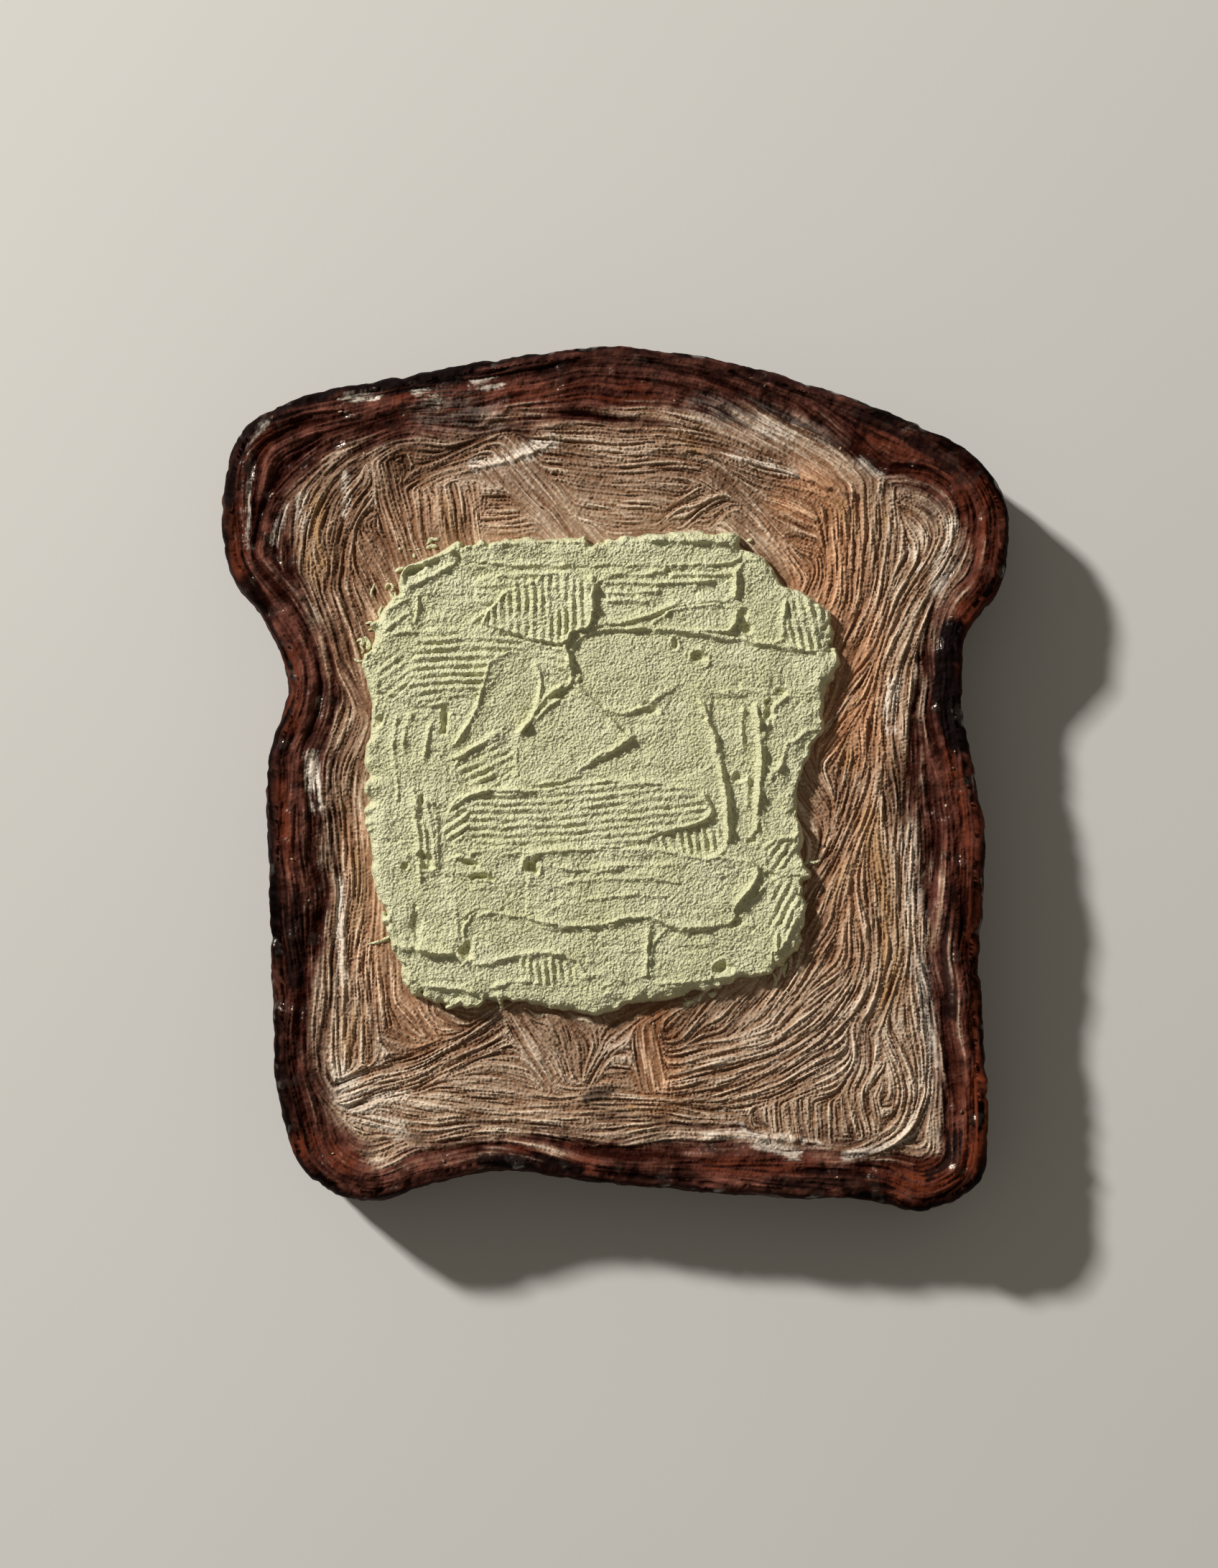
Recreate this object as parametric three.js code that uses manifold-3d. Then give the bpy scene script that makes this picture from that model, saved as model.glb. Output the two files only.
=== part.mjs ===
// A slice of dark toast from a tin loaf, with a thick patch of butter spread on it by a serrated knife.
// Millimetres, +Z up. The slice lies flat, buttered side up, with the domed top of the loaf towards +Y
// and the origin under the middle of the slice.

import * as THREE from "three";
import { mergeVertices } from "three/addons/utils/BufferGeometryUtils.js";
import Module from "manifold-3d";

const wasm = await Module();
wasm.setup();

// ---- The slice ----
const SLICE_THICKNESS = 13; // between the two cut faces, at the crumb
const RIM_RISE = 0.7; // the dried crust stands this far above the crumb
const CRUST_WIDTH = 7; // browned band seen on the cut face
const EDGE_ROUND = 1.2; // rounding where the cut faces meet the side
const SIDE_BULGE = 0.5; // the side swells outwards this far at mid height
const CRUMB_RELIEF = 0.35; // height of the crumb's unevenness
const CRUMB_LUMP = 7; // distance between its bumps
const SLICE_SIDES = 120; // straight stretches round the outline
const SLICE_RINGS = [0.03, 0.06, 0.1, 0.15, 0.21, 0.29, 0.38, 0.48, 0.6, 0.73, 0.87]; // shares of the way in

// ---- The butter ----
const BUTTER_GAP = 0.3; // clearance between the butter and the crumb
const BUTTER_LEVEL = 2.1; // usual height of the spread above the crumb
const BUTTER_EDGE = 2.4; // the spread thins out over this width
const EDGE_HEIGHT = 0.45; // share of the height that is left at the very edge
const RAGGED = 0.4; // how far the edge wanders in and out
const RAGGED_LUMP = 2.2; // distance between those wanderings
const BUTTER_SIDES = 170; // straight stretches round the spread
const BUTTER_STEP = 1.32; // spacing of the points on its top
const STEP_SOFTNESS = 1.5; // width of the slope between two facets
const TOOTH_PITCH = 1.15; // spacing of the knife's serrations
const TOOTH_STEP = 3; // length of a straight stretch of a groove
const BLADE_HEIGHT = 8; // the blade reaches this far above the grooves

// Round the slice, anticlockwise from the middle of its right side: waist, shoulder, dome, foot.
const SLICE_KNOTS = [
  [50.6, 0], [49, 10], [50, 20], [54.5, 25.8], [56, 32], [55.6, 39], [51, 45.6], [42, 50.6], [32, 54.7],
  [21, 58.2], [10.6, 60.6], [0, 61.9], [-11, 61], [-22, 59.4], [-33, 57.3], [-45, 54.9], [-53.3, 50],
  [-56, 42], [-55.5, 30.5], [-50.2, 22.3], [-47.3, 14], [-50.2, 3], [-50.2, -12], [-49.9, -27], [-49, -45],
  [-45, -55.3], [-36.5, -59.4], [-27, -57], [-17, -55.4], [-5, -57.1], [10, -58.7], [24, -59.9],
  [34, -60.3], [42, -61.9], [49.8, -58.2], [51.5, -48], [50.8, -27], [51.9, -8],
];

// Round the butter, clockwise from its top left corner.
const BUTTER_KNOTS = [
  [-22.4, 33], [-10, 33.7], [-3, 33.2], [7, 34.4], [16.8, 33.6], [17.5, 31.2], [21.5, 30.4], [24, 26.2],
  [28.4, 24.2], [29.8, 20], [30.5, 14], [28.7, 11.5], [28.2, 5.3], [25.4, 1.8], [24.4, -4], [25, -9],
  [25.8, -14], [25.6, -19.5], [24.4, -24.6], [21.3, -27.4], [8, -30.6], [-4, -33], [-12, -31.8], [-18.5, -30.6],
  [-24, -31.2], [-30, -29.2], [-32.3, -25], [-34.3, -16.5], [-35.9, -4], [-35, 9.5], [-36.3, 17], [-33.8, 21.5],
  [-32.8, 26], [-29, 30.4],
];

// Flat places that strokes of the knife have left: height at the middle, slope to +X, and outline.
const FACETS = [
  { level: 2.65, slope: 0.03, outline: [[-36, 20], [-35, 27], [-28.8, 27], [-28.8, 20.7]] }, // left shoulder
  { level: 2.45, slope: 0, outline: [[-23, 35], [18, 36], [17.5, 30.2], [5, 29.6], [-20, 30]] }, // top band
  { level: 2.85, slope: 0.02, outline: [[-19, 22.5], [-15.7, 28.9], [-3.4, 28.9], [-3.4, 21.3], [-8, 18.6], [-19, 21]] },
  { level: 1.95, slope: 0, outline: [[-3.4, 29.5], [16.7, 29.3], [16.6, 24.3], [5, 22.8], [-3.4, 21.4]] }, // layers
  { level: 2.05, slope: 0.03, outline: [[16.8, 30.5], [22, 30.5], [24, 25.5], [22.6, 18.3], [17.2, 19]] }, // right top
  { level: 1.95, slope: 0, outline: [[-7, 19.5], [-3, 21], [18.5, 19], [31, 17], [31, 12.5], [20, 11.4], [9.3, 13], [4, 9.4], [-6, 12.7]] },
  { level: 2.7, slope: 0.02, outline: [[4, 21.3], [8.5, 24.1], [15.7, 24], [16.6, 22], [15, 19.9]] }, // tongue
  { level: 1.75, slope: 0, outline: [[4.2, 9.4], [9.3, 13], [10.8, 11.5], [14, 1], [-5, 0.4], [1, 5]] }, // lower middle
  { level: 2.3, slope: 0.02, outline: [[-15, 5], [-10.5, 10], [-7, 12.2], [-2, 9.2], [1.4, 5.2], [-6, 0], [-15, -1]] },
  { level: 1.75, slope: 0, outline: [[11.4, 11.3], [19, 11.3], [18.7, -9], [15, -9.3]] }, // between the long ridges
  { level: 2.15, slope: 0.075, outline: [[-18, 17.2], [-12.3, 17], [-11, 13], [-13.6, 6.3], [-23.6, 4.2]] }, // petal
  { level: 2.5, slope: 0.01, outline: [[-25, -10.3], [-24, -4], [-18, -1.4], [6, -0.9], [12.9, -4.4], [8, -7.6], [3, -9.6]] },
  { level: 2.75, slope: 0.02, outline: [[-13, -10.6], [17, -11.3], [19.4, -13.1], [15.4, -19], [8, -21.8], [0, -19.7], [-14, -20.5]] },
  { level: 2.25, slope: 0.014, outline: [[-22.3, -20], [4, -20], [2.9, -29], [-7, -25], [-22, -26.2]] }, // lower left
  { level: 2.1, slope: 0, outline: [[5.6, -21.4], [17, -20.5], [21, -28.5], [3.4, -29.4]] }, // lower right
];

// Ridges of butter that the knife pushed up: height, half width, and line.
const RIDGES = [
  { height: 0.5, width: 0.8, line: [[-22, 32.8], [0, 33], [15, 33.2]] }, // upper lip
  { height: 1, width: 1.2, line: [[-6.9, 20.6], [-3, 22], [2, 22.4], [8.5, 24.9], [16.3, 24.9]] }, // crest
  { height: 0.7, width: 0.8, line: [[-6.9, 20.6], [-7.8, 17.5], [-7.2, 13.2], [-10, 12]] }, // left of the wide facet
  { height: 0.5, width: 0.8, line: [[-11.4, 16.2], [-11, 12.3], [-14, 6.6]] }, // lip of the petal
  { height: 0.5, width: 0.7, line: [[-24.4, 2.7], [-20.5, 4.5], [-16.5, 6.5]] }, // below the petal
  { height: 0.9, width: 0.9, line: [[10.9, 11], [13.5, 2.5], [14.6, -10]] }, // long ridge
  { height: 0.6, width: 0.6, line: [[18.9, 10.6], [19.5, 0], [18.6, -8.4]] }, // thin ridge beside it
  { height: 0.5, width: 0.9, line: [[2.6, -21], [2.2, -28.4]] }, // between the lower facets
  { height: 0.4, width: 0.8, line: [[17.6, -12.4], [15.2, -18.4]] }, // end of the wide band
  { height: 0.4, width: 0.7, line: [[-26.8, -2.4], [-25.8, -12.4]] }, // left column
  { height: 0.4, width: 0.7, line: [[-31.4, 9], [-31.4, -3.5]] }, // left column, outer
];

// Pits torn in the butter: middle, radius and depth.
const PITS = [
  { at: [-12.9, -12.3], radius: 1.4, depth: 1.3 },
  { at: [-22, -23.8], radius: 1.3, depth: 1.1 },
  { at: [-21, -12.6], radius: 1.5, depth: 0.9 },
  { at: [21.2, 9.8], radius: 1.5, depth: 0.9 },
  { at: [10.8, 16.7], radius: 1.2, depth: 0.8 },
  { at: [13.6, -26.8], radius: 1.2, depth: 1 },
  { at: [-24.6, 8.3], radius: 1.2, depth: 0.9 },
];

// Strokes of the serrated edge: path, width, height of the crests that are left, and groove depth.
const COMBS = [
  { path: [[-35, 12.6], [-30, 15.5], [-25, 16], [-19.3, 15.6]], width: 9.2, crest: 2.4, depth: 0.5 },
  { path: [[-20, 19.6], [-8, 18.6]], width: 2.3, crest: 2.5, depth: 0.5 },
  { path: [[-10.3, 28.6], [-10.5, 20.4]], width: 12.6, crest: 2.8, depth: 0.45 },
  { path: [[-10.9, 15.2], [-7.6, 15.2]], width: 4.6, crest: 2.4, depth: 0.45 },
  { path: [[-21.6, -6.3], [-8, -5.4], [10.4, -4.5]], width: 7, crest: 2.3, depth: 0.4 },
  { path: [[-25, -8.4], [-21.6, -6.3]], width: 4.6, crest: 2.1, depth: 0.55 },
  { path: [[25.2, 26], [26.5, 17.8]], width: 5.8, crest: 1.9, depth: 0.65 },
  { path: [[-22.4, 0], [-15.2, 3.2]], width: 4.6, crest: 1.9, depth: 0.5 },
  { path: [[8.6, -7.8], [9.6, -10.8]], width: 8.1, crest: 1.9, depth: 0.5 },
  { path: [[-11, -25.2], [-10.6, -28.4]], width: 8.1, crest: 1.9, depth: 0.45 },
  { path: [[20.9, -13], [23.7, -9.3]], width: 3.5, crest: 1.9, depth: 0.55 },
  { path: [[21.4, -25], [24.8, -15.3]], width: 4.6, crest: 1.8, depth: 0.6 },
];

// ---- Helpers ----

function smoothstep(low, high, value) {
  return THREE.MathUtils.smoothstep(value, low, high);
}

// A repeatable number from -1 to 1 for each whole pair.
function scatter(i, j) {
  const wave = Math.sin(i * 127.1 + j * 311.7) * 43758.5453;
  return 2 * (wave - Math.floor(wave)) - 1;
}

// Smooth unevenness from -1 to 1, with bumps about `size` apart.
function lumps(x, y, size) {
  const column = Math.floor(x / size);
  const row = Math.floor(y / size);
  const u = smoothstep(0, 1, x / size - column);
  const v = smoothstep(0, 1, y / size - row);
  const low = THREE.MathUtils.lerp(scatter(column, row), scatter(column + 1, row), u);
  const high = THREE.MathUtils.lerp(scatter(column, row + 1), scatter(column + 1, row + 1), u);
  return THREE.MathUtils.lerp(low, high, v);
}

// Distance from a point to a line of points.
function lineDistance(line, x, y, closed) {
  let nearest = Infinity;
  const last = closed ? line.length : line.length - 1;
  for (let i = 0; i < last; i++) {
    const [ax, ay] = line[i];
    const [bx, by] = line[(i + 1) % line.length];
    const reach = ((x - ax) * (bx - ax) + (y - ay) * (by - ay)) / ((bx - ax) ** 2 + (by - ay) ** 2);
    const t = THREE.MathUtils.clamp(reach, 0, 1);
    nearest = Math.min(nearest, Math.hypot(x - ax - t * (bx - ax), y - ay - t * (by - ay)));
  }
  return nearest;
}

// Distance to a closed outline: positive inside it, negative outside.
function insideDistance(outline, x, y) {
  let inside = false;
  outline.forEach(([ax, ay], i) => {
    const [bx, by] = outline[(i + 1) % outline.length];
    if (ay > y !== by > y && x < ((bx - ax) * (y - ay)) / (by - ay) + ax) inside = !inside;
  });
  const distance = lineDistance(outline, x, y, true);
  return inside ? distance : -distance;
}

// Evenly spaced points on a smooth closed curve through the knots.
function smoothOutline(knots, count) {
  const places = knots.map(([x, y]) => new THREE.Vector3(x, y, 0));
  const curve = new THREE.CatmullRomCurve3(places, true, "centripetal");
  const spaced = curve.getSpacedPoints(count).slice(0, count);
  return spaced.map((point) => [point.x, point.y]);
}

// A closed geometry with its shared corners merged, as only positions matter.
function welded(geometry) {
  geometry.deleteAttribute("normal");
  geometry.deleteAttribute("uv");
  return mergeVertices(geometry, 1e-4);
}

function solidOf(geometry) {
  const whole = welded(geometry);
  const vertProperties = new Float32Array(whole.attributes.position.array);
  const triVerts = new Uint32Array(whole.index.array);
  return new wasm.Manifold(new wasm.Mesh({ numProp: 3, vertProperties, triVerts }));
}

function geometryOf(solid) {
  const mesh = solid.getMesh();
  const geometry = new THREE.BufferGeometry();
  geometry.setAttribute("position", new THREE.BufferAttribute(new Float32Array(mesh.vertProperties), 3));
  geometry.setIndex(new THREE.BufferAttribute(new Uint32Array(mesh.triVerts), 1));
  return geometry;
}

// ---- The slice ----

const butterOutline = smoothOutline(BUTTER_KNOTS, BUTTER_SIDES);

// Height of the upper cut face: a raised crust, and a crumb that is level only under the butter.
function sliceHeight(outline, x, y) {
  const inset = lineDistance(outline, x, y, true);
  const rim = RIM_RISE * (1 - smoothstep(CRUST_WIDTH * 0.5, CRUST_WIDTH, inset));
  const bare = smoothstep(0, 4, -insideDistance(butterOutline, x, y));
  return SLICE_THICKNESS + rim + bare * CRUMB_RELIEF * lumps(x, y, CRUMB_LUMP);
}

// Outward directions at the corners of an anticlockwise outline.
function outwardDirections(outline) {
  return outline.map((_, i) => {
    const [ax, ay] = outline.at(i - 1);
    const [bx, by] = outline[(i + 1) % outline.length];
    const length = Math.hypot(bx - ax, by - ay);
    return [(by - ay) / length, (ax - bx) / length];
  });
}

// The side of the slice from the lower face to the upper one: [outward shift, height share].
function sideProfile() {
  const round = EDGE_ROUND / SLICE_THICKNESS;
  return [
    [-EDGE_ROUND, 0],
    [-EDGE_ROUND * 0.3, round * 0.3],
    [0, round],
    [SIDE_BULGE, 0.5],
    [0, 1 - round],
    [-EDGE_ROUND * 0.3, 1 - round * 0.3],
    [-EDGE_ROUND, 1],
  ];
}

function makeSlice() {
  const outline = smoothOutline(SLICE_KNOTS, SLICE_SIDES);
  const outwards = outwardDirections(outline);
  const rings = sideProfile().map(([shift, share]) =>
    outline.map(([x, y], i) => {
      const px = x + (shift - SIDE_BULGE) * outwards[i][0];
      const py = y + (shift - SIDE_BULGE) * outwards[i][1];
      return [px, py, share * sliceHeight(outline, px, py)];
    }),
  );
  const brim = rings.at(-1);
  for (const share of SLICE_RINGS) {
    rings.push(
      brim.map(([x, y]) => {
        const px = x * (1 - share);
        const py = y * (1 - share);
        return [px, py, sliceHeight(outline, px, py)];
      }),
    );
  }
  return ringGeometry(rings, [0, 0, 0], [0, 0, sliceHeight(outline, 0, 0)]);
}

// Joins rings of equal count into one closed skin, with a point at each end.
function ringGeometry(rings, first, last) {
  const count = rings[0].length;
  const positions = [first, ...rings.flat(), last].flat();
  const end = rings.length * count + 1;
  const index = [];
  for (let i = 0; i < count; i++) {
    const next = (i + 1) % count;
    index.push(0, 1 + next, 1 + i);
    index.push(end, end - count + i, end - count + next);
    for (let ring = 1; ring < rings.length; ring++) {
      const low = 1 + (ring - 1) * count;
      const high = low + count;
      index.push(low + i, low + next, high + next);
      index.push(low + i, high + next, high + i);
    }
  }
  const geometry = new THREE.BufferGeometry();
  geometry.setAttribute("position", new THREE.Float32BufferAttribute(positions, 3));
  geometry.setIndex(index);
  return geometry;
}

// ---- The butter ----

// Height of the butter above the crumb, without the serrated strokes.
function butterHeight(x, y) {
  let height = BUTTER_LEVEL + 0.12 * lumps(x, y, 4);
  for (const { level, slope, outline } of FACETS) {
    const middle = outline.reduce((sum, point) => sum + point[0], 0) / outline.length;
    const share = smoothstep(-STEP_SOFTNESS / 2, STEP_SOFTNESS / 2, insideDistance(outline, x, y));
    height = THREE.MathUtils.lerp(height, level + slope * (x - middle), share);
  }
  for (const { height: rise, width, line } of RIDGES) {
    height += rise * Math.exp(-((lineDistance(line, x, y, false) / width) ** 2));
  }
  for (const { at, radius, depth } of PITS) {
    const away = Math.hypot(x - at[0], y - at[1]);
    height -= depth * (1 - smoothstep(radius * 0.5, radius * 1.2, away));
  }
  const inset = THREE.MathUtils.clamp(insideDistance(butterOutline, x, y) / BUTTER_EDGE, 0, 1);
  return height * (EDGE_HEIGHT + (1 - EDGE_HEIGHT) * Math.sqrt(1 - (1 - inset) ** 2));
}

// A block whose top follows the strokes of the knife.
function butterBlock(floor) {
  const box = new THREE.Box2().setFromPoints(butterOutline.map(([x, y]) => new THREE.Vector2(x, y)));
  box.expandByScalar(2 * RAGGED + BUTTER_STEP);
  const size = box.getSize(new THREE.Vector2());
  const middle = box.getCenter(new THREE.Vector2());
  const columns = Math.round(size.x / BUTTER_STEP);
  const rows = Math.round(size.y / BUTTER_STEP);
  const block = new THREE.BoxGeometry(size.x, size.y, 2, columns, rows, 1);
  block.translate(middle.x, middle.y, floor);
  const position = block.attributes.position;
  for (let i = 0; i < position.count; i++) {
    const top = SLICE_THICKNESS + butterHeight(position.getX(i), position.getY(i));
    if (position.getZ(i) > floor) position.setZ(i, top);
  }
  return solidOf(block);
}

// The ragged edge of the spread, as a tall prism that stands on the crumb.
function butterPrism(floor) {
  const shape = new THREE.Shape(
    butterOutline.map(([x, y]) => {
      const shift = RAGGED * lumps(x, y, RAGGED_LUMP);
      const reach = Math.hypot(x, y);
      return new THREE.Vector2(x * (1 + shift / reach), y * (1 + shift / reach));
    }),
  );
  const prism = new THREE.ExtrudeGeometry(shape, { depth: BLADE_HEIGHT, bevelEnabled: false });
  prism.translate(0, 0, floor);
  return solidOf(prism);
}

// The space swept by the serrated edge: teeth below, open above.
function combSweep({ path, width, crest, depth }) {
  const teeth = Math.round(width / TOOTH_PITCH);
  const half = (teeth * TOOTH_PITCH) / 2;
  const shape = new THREE.Shape();
  shape.moveTo(-BLADE_HEIGHT, -half);
  for (let tooth = 0; tooth < teeth; tooth++) {
    const uneven = 1 + 0.25 * scatter(tooth, teeth);
    shape.lineTo(0, tooth * TOOTH_PITCH - half);
    shape.lineTo(depth * uneven, (tooth + 0.5) * TOOTH_PITCH - half);
  }
  shape.lineTo(0, half);
  shape.lineTo(-BLADE_HEIGHT, half);
  const level = SLICE_THICKNESS + crest;
  const line = new THREE.CatmullRomCurve3(path.map(([x, y]) => new THREE.Vector3(x, y, level)));
  const steps = Math.max(1, Math.round(line.getLength() / TOOTH_STEP));
  return solidOf(new THREE.ExtrudeGeometry(shape, { steps, extrudePath: line }));
}

function makeButter() {
  const floor = SLICE_THICKNESS + BUTTER_GAP;
  const spread = butterBlock(SLICE_THICKNESS).intersect(butterPrism(floor));
  return geometryOf(COMBS.reduce((butter, comb) => butter.subtract(combSweep(comb)), spread));
}

// ---- The part ----

function addPiece(group, name, geometry, colour, roughness) {
  const material = new THREE.MeshStandardMaterial({ color: colour, roughness, metalness: 0 });
  const mesh = new THREE.Mesh(geometry, material);
  mesh.name = name;
  group.add(mesh);
  return mesh;
}

const butteredToast = new THREE.Group();
const slice = addPiece(butteredToast, "toast", makeSlice(), 0x4a2a1c, 0.75);
addPiece(butteredToast, "butter", makeButter(), 0xd8d69c, 0.6);

const extent = new THREE.Box3().setFromObject(slice);
const centre = extent.getCenter(new THREE.Vector3());
butteredToast.position.set(-centre.x, -centre.y, 0);

export default butteredToast;
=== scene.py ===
"""Buttered toast: a dark slice from a tin loaf with a thick patch of butter spread by a serrated knife.

Shapes are worked out in millimetres in the slice's drawing frame, and go to the row frame, in metres,
when a mesh is made. The slice lies flat, buttered side up, with the dome of the loaf towards +Y.
"""
import math

import bpy
import numpy as np
from mathutils import Matrix, Vector
from mathutils.geometry import tessellate_polygon


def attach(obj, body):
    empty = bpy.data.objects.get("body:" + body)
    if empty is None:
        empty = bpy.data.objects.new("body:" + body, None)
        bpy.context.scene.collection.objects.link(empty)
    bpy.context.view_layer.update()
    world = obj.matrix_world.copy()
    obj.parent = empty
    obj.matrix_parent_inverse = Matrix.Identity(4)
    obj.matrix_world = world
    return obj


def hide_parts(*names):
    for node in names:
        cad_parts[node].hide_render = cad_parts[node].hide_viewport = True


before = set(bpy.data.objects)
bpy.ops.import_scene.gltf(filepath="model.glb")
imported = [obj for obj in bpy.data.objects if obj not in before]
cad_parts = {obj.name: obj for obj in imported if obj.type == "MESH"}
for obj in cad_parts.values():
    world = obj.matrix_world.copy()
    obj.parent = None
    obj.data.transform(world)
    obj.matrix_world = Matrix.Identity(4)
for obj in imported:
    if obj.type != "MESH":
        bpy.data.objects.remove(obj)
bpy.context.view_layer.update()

MM = 0.001

# ---- Sizes of the slice ----
THICKNESS = 13.0  # between the cut faces, at the crumb
RIM_RISE = 0.7  # the dried crust stands this far above the crumb
SIDE_BULGE = 0.5  # the side swells by this at mid height
EDGE_ROUND = 1.5  # rounding where the cut faces meet the side
SIDE_CLEARANCE = 0.12  # keeps the crags of the side inside the outline
COLUMNS = 1280  # points round the slice
COARSE_STRIDE = 5  # distances from the outline are measured to every so many of them
OUTWARDS_BLUR = 14  # and the direction outwards is averaged over this many
SEAM = 2.3  # width of the crust piece's share of the cut face
SEAM_DEPTH = 1.6  # the crumb pieces sit this deep in the crust piece
CRUMB_STEP = 0.156  # spacing of the points on the crumb
CRUMB_SPLIT = (-3.0, 0.8)  # the crumb is made as four quarters that meet under the butter
SIDE_RINGS = 31  # rings of points up the side
UNDER_SCALES = np.arange(0.99, 0.05, -0.0125)  # sizes of the rings of points on the underside
SEAM_GAP = 0.02  # the crumb pieces stand this far above the floor of their tray
CRUMB_LAP = 2.2  # the crumb reaches this far under the butter
NOTCH_DEPTHS = (0.30, 0.26)  # long and short notches round the side

# ---- Relief of the toasted face ----
FIELD_STEP = 0.3  # spacing of the grids that hold the lie of the crumb and the distances from its border
FIELD_X, FIELD_Y = np.arange(-60, 60, FIELD_STEP), np.arange(-66, 66, FIELD_STEP)
FIELD = np.meshgrid(FIELD_X, FIELD_Y)
INSET_BLUR = 6  # how gently the lie along the crust turns where two sides meet
LIE_BLUR = 7  # how gently one lie turns into the next
# The crumb's sweeps, torn strands and threads: width, seed, gain, length of a step, and steps each way.
BROAD_LAYER = (1.3, 71, 0.56, 0.9, 12)
STRAND_LAYER = (0.30, 75, 0.70, 0.3, 16)
THREAD_LAYER = (0.165, 76, 0.92, 0.22, 11)
BROAD_HEIGHT, STRAND_HEIGHT, THREAD_HEIGHT = 0.07, 0.100, 0.120
SWELL_HEIGHT = 0.3  # the crumb rises and falls by this over some millimetres
DIMPLE_HEIGHT = 0.12  # and by this from place to place
PORE_DEPTH = 0.12  # of the holes between strands
GRIT_HEIGHT = 0.05  # of the dry grain all over the toast
CRAG_HEIGHT = 0.16  # roughness of the crust

# ---- Sizes of the butter ----
BUTTER_STEP = 0.154  # spacing of the points on the spread
BUTTER_SEAM = 0.8  # the spread is made as two halves that meet here
BUTTER_LEVEL = 2.1  # usual height above the crumb
BUTTER_SINK = 0.35  # the spread reaches this far into the crumb
BUTTER_TOP = 4.2  # nothing stands higher than this above the crumb
STEP_HEIGHT = 0.65  # how much of each step between flats the soft butter kept
STEP_SOFTNESS = 0.65  # how soft the steps are
RIDGE_HEIGHT = 1.3  # how much of each ridge it kept
LIP_HEIGHT = 0.32  # burr along the border of each flat
FINEST_RIDGE = 0.27  # half width of the finest ridge
COMB_DEPTH = 0.9  # how much of each groove it kept
PIT_DEPTH = 0.90  # how much of each pit it kept
SMEAR_HEIGHT = 0.10  # long, faint marks of the knife
MOUND_HEIGHT = 0.16  # soft unevenness
SAND_HEIGHT = 0.15  # sandy grain
TEAR_DEPTH = 0.16  # small torn places
THINNEST_BUTTER = 0.3  # height of the spread at its lowest
EDGE_SHARE = 0.55  # how much of the edge stands upright, the rest being rounded off
# Steps down the edge: share of its height, and how far it reaches out there.
EDGE_STEPS = ((0.84, 0.06), (0.66, 0.09), (0.48, 0.10), (0.28, 0.06), (0.0, -0.10))
THIN_LOOK = 0.6  # the side of the spread looks at least this thick

# Round the slice, anticlockwise from the middle of its right side: x, y, width of the browned crust.
SLICE_KNOTS = [
    (50.6, 0, 9), (49, 10, 6), (50, 20, 5), (54.5, 25.8, 6.2), (56, 32, 6.5), (55.6, 39, 8), (51, 45.6, 9),
    (42, 50.6, 8), (32, 54.7, 6), (21, 58.2, 6), (10.6, 60.6, 8.6), (0, 61.9, 10), (-11, 61, 10),
    (-22, 59.4, 9), (-33, 57.3, 9.2), (-45, 54.9, 9.4), (-53.3, 50, 9.4), (-56, 42, 9.2), (-55.5, 30.5, 8.2),
    (-50.2, 22.3, 6.8), (-47.3, 14, 6.4), (-50.2, 3, 7.6), (-50.2, -12, 6.8), (-49.9, -27, 6.2),
    (-49, -45, 6), (-45, -55.3, 7.6), (-36.5, -59.4, 7.2), (-27, -57, 5.2), (-17, -55.4, 4.2),
    (-5, -57.1, 5.2), (10, -58.7, 7.6), (24, -59.9, 7.6), (34, -60.3, 7), (42, -61.9, 8), (49.8, -58.2, 7.6),
    (51.5, -48, 6.4), (50.8, -27, 7), (51.9, -8, 9),
]

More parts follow.
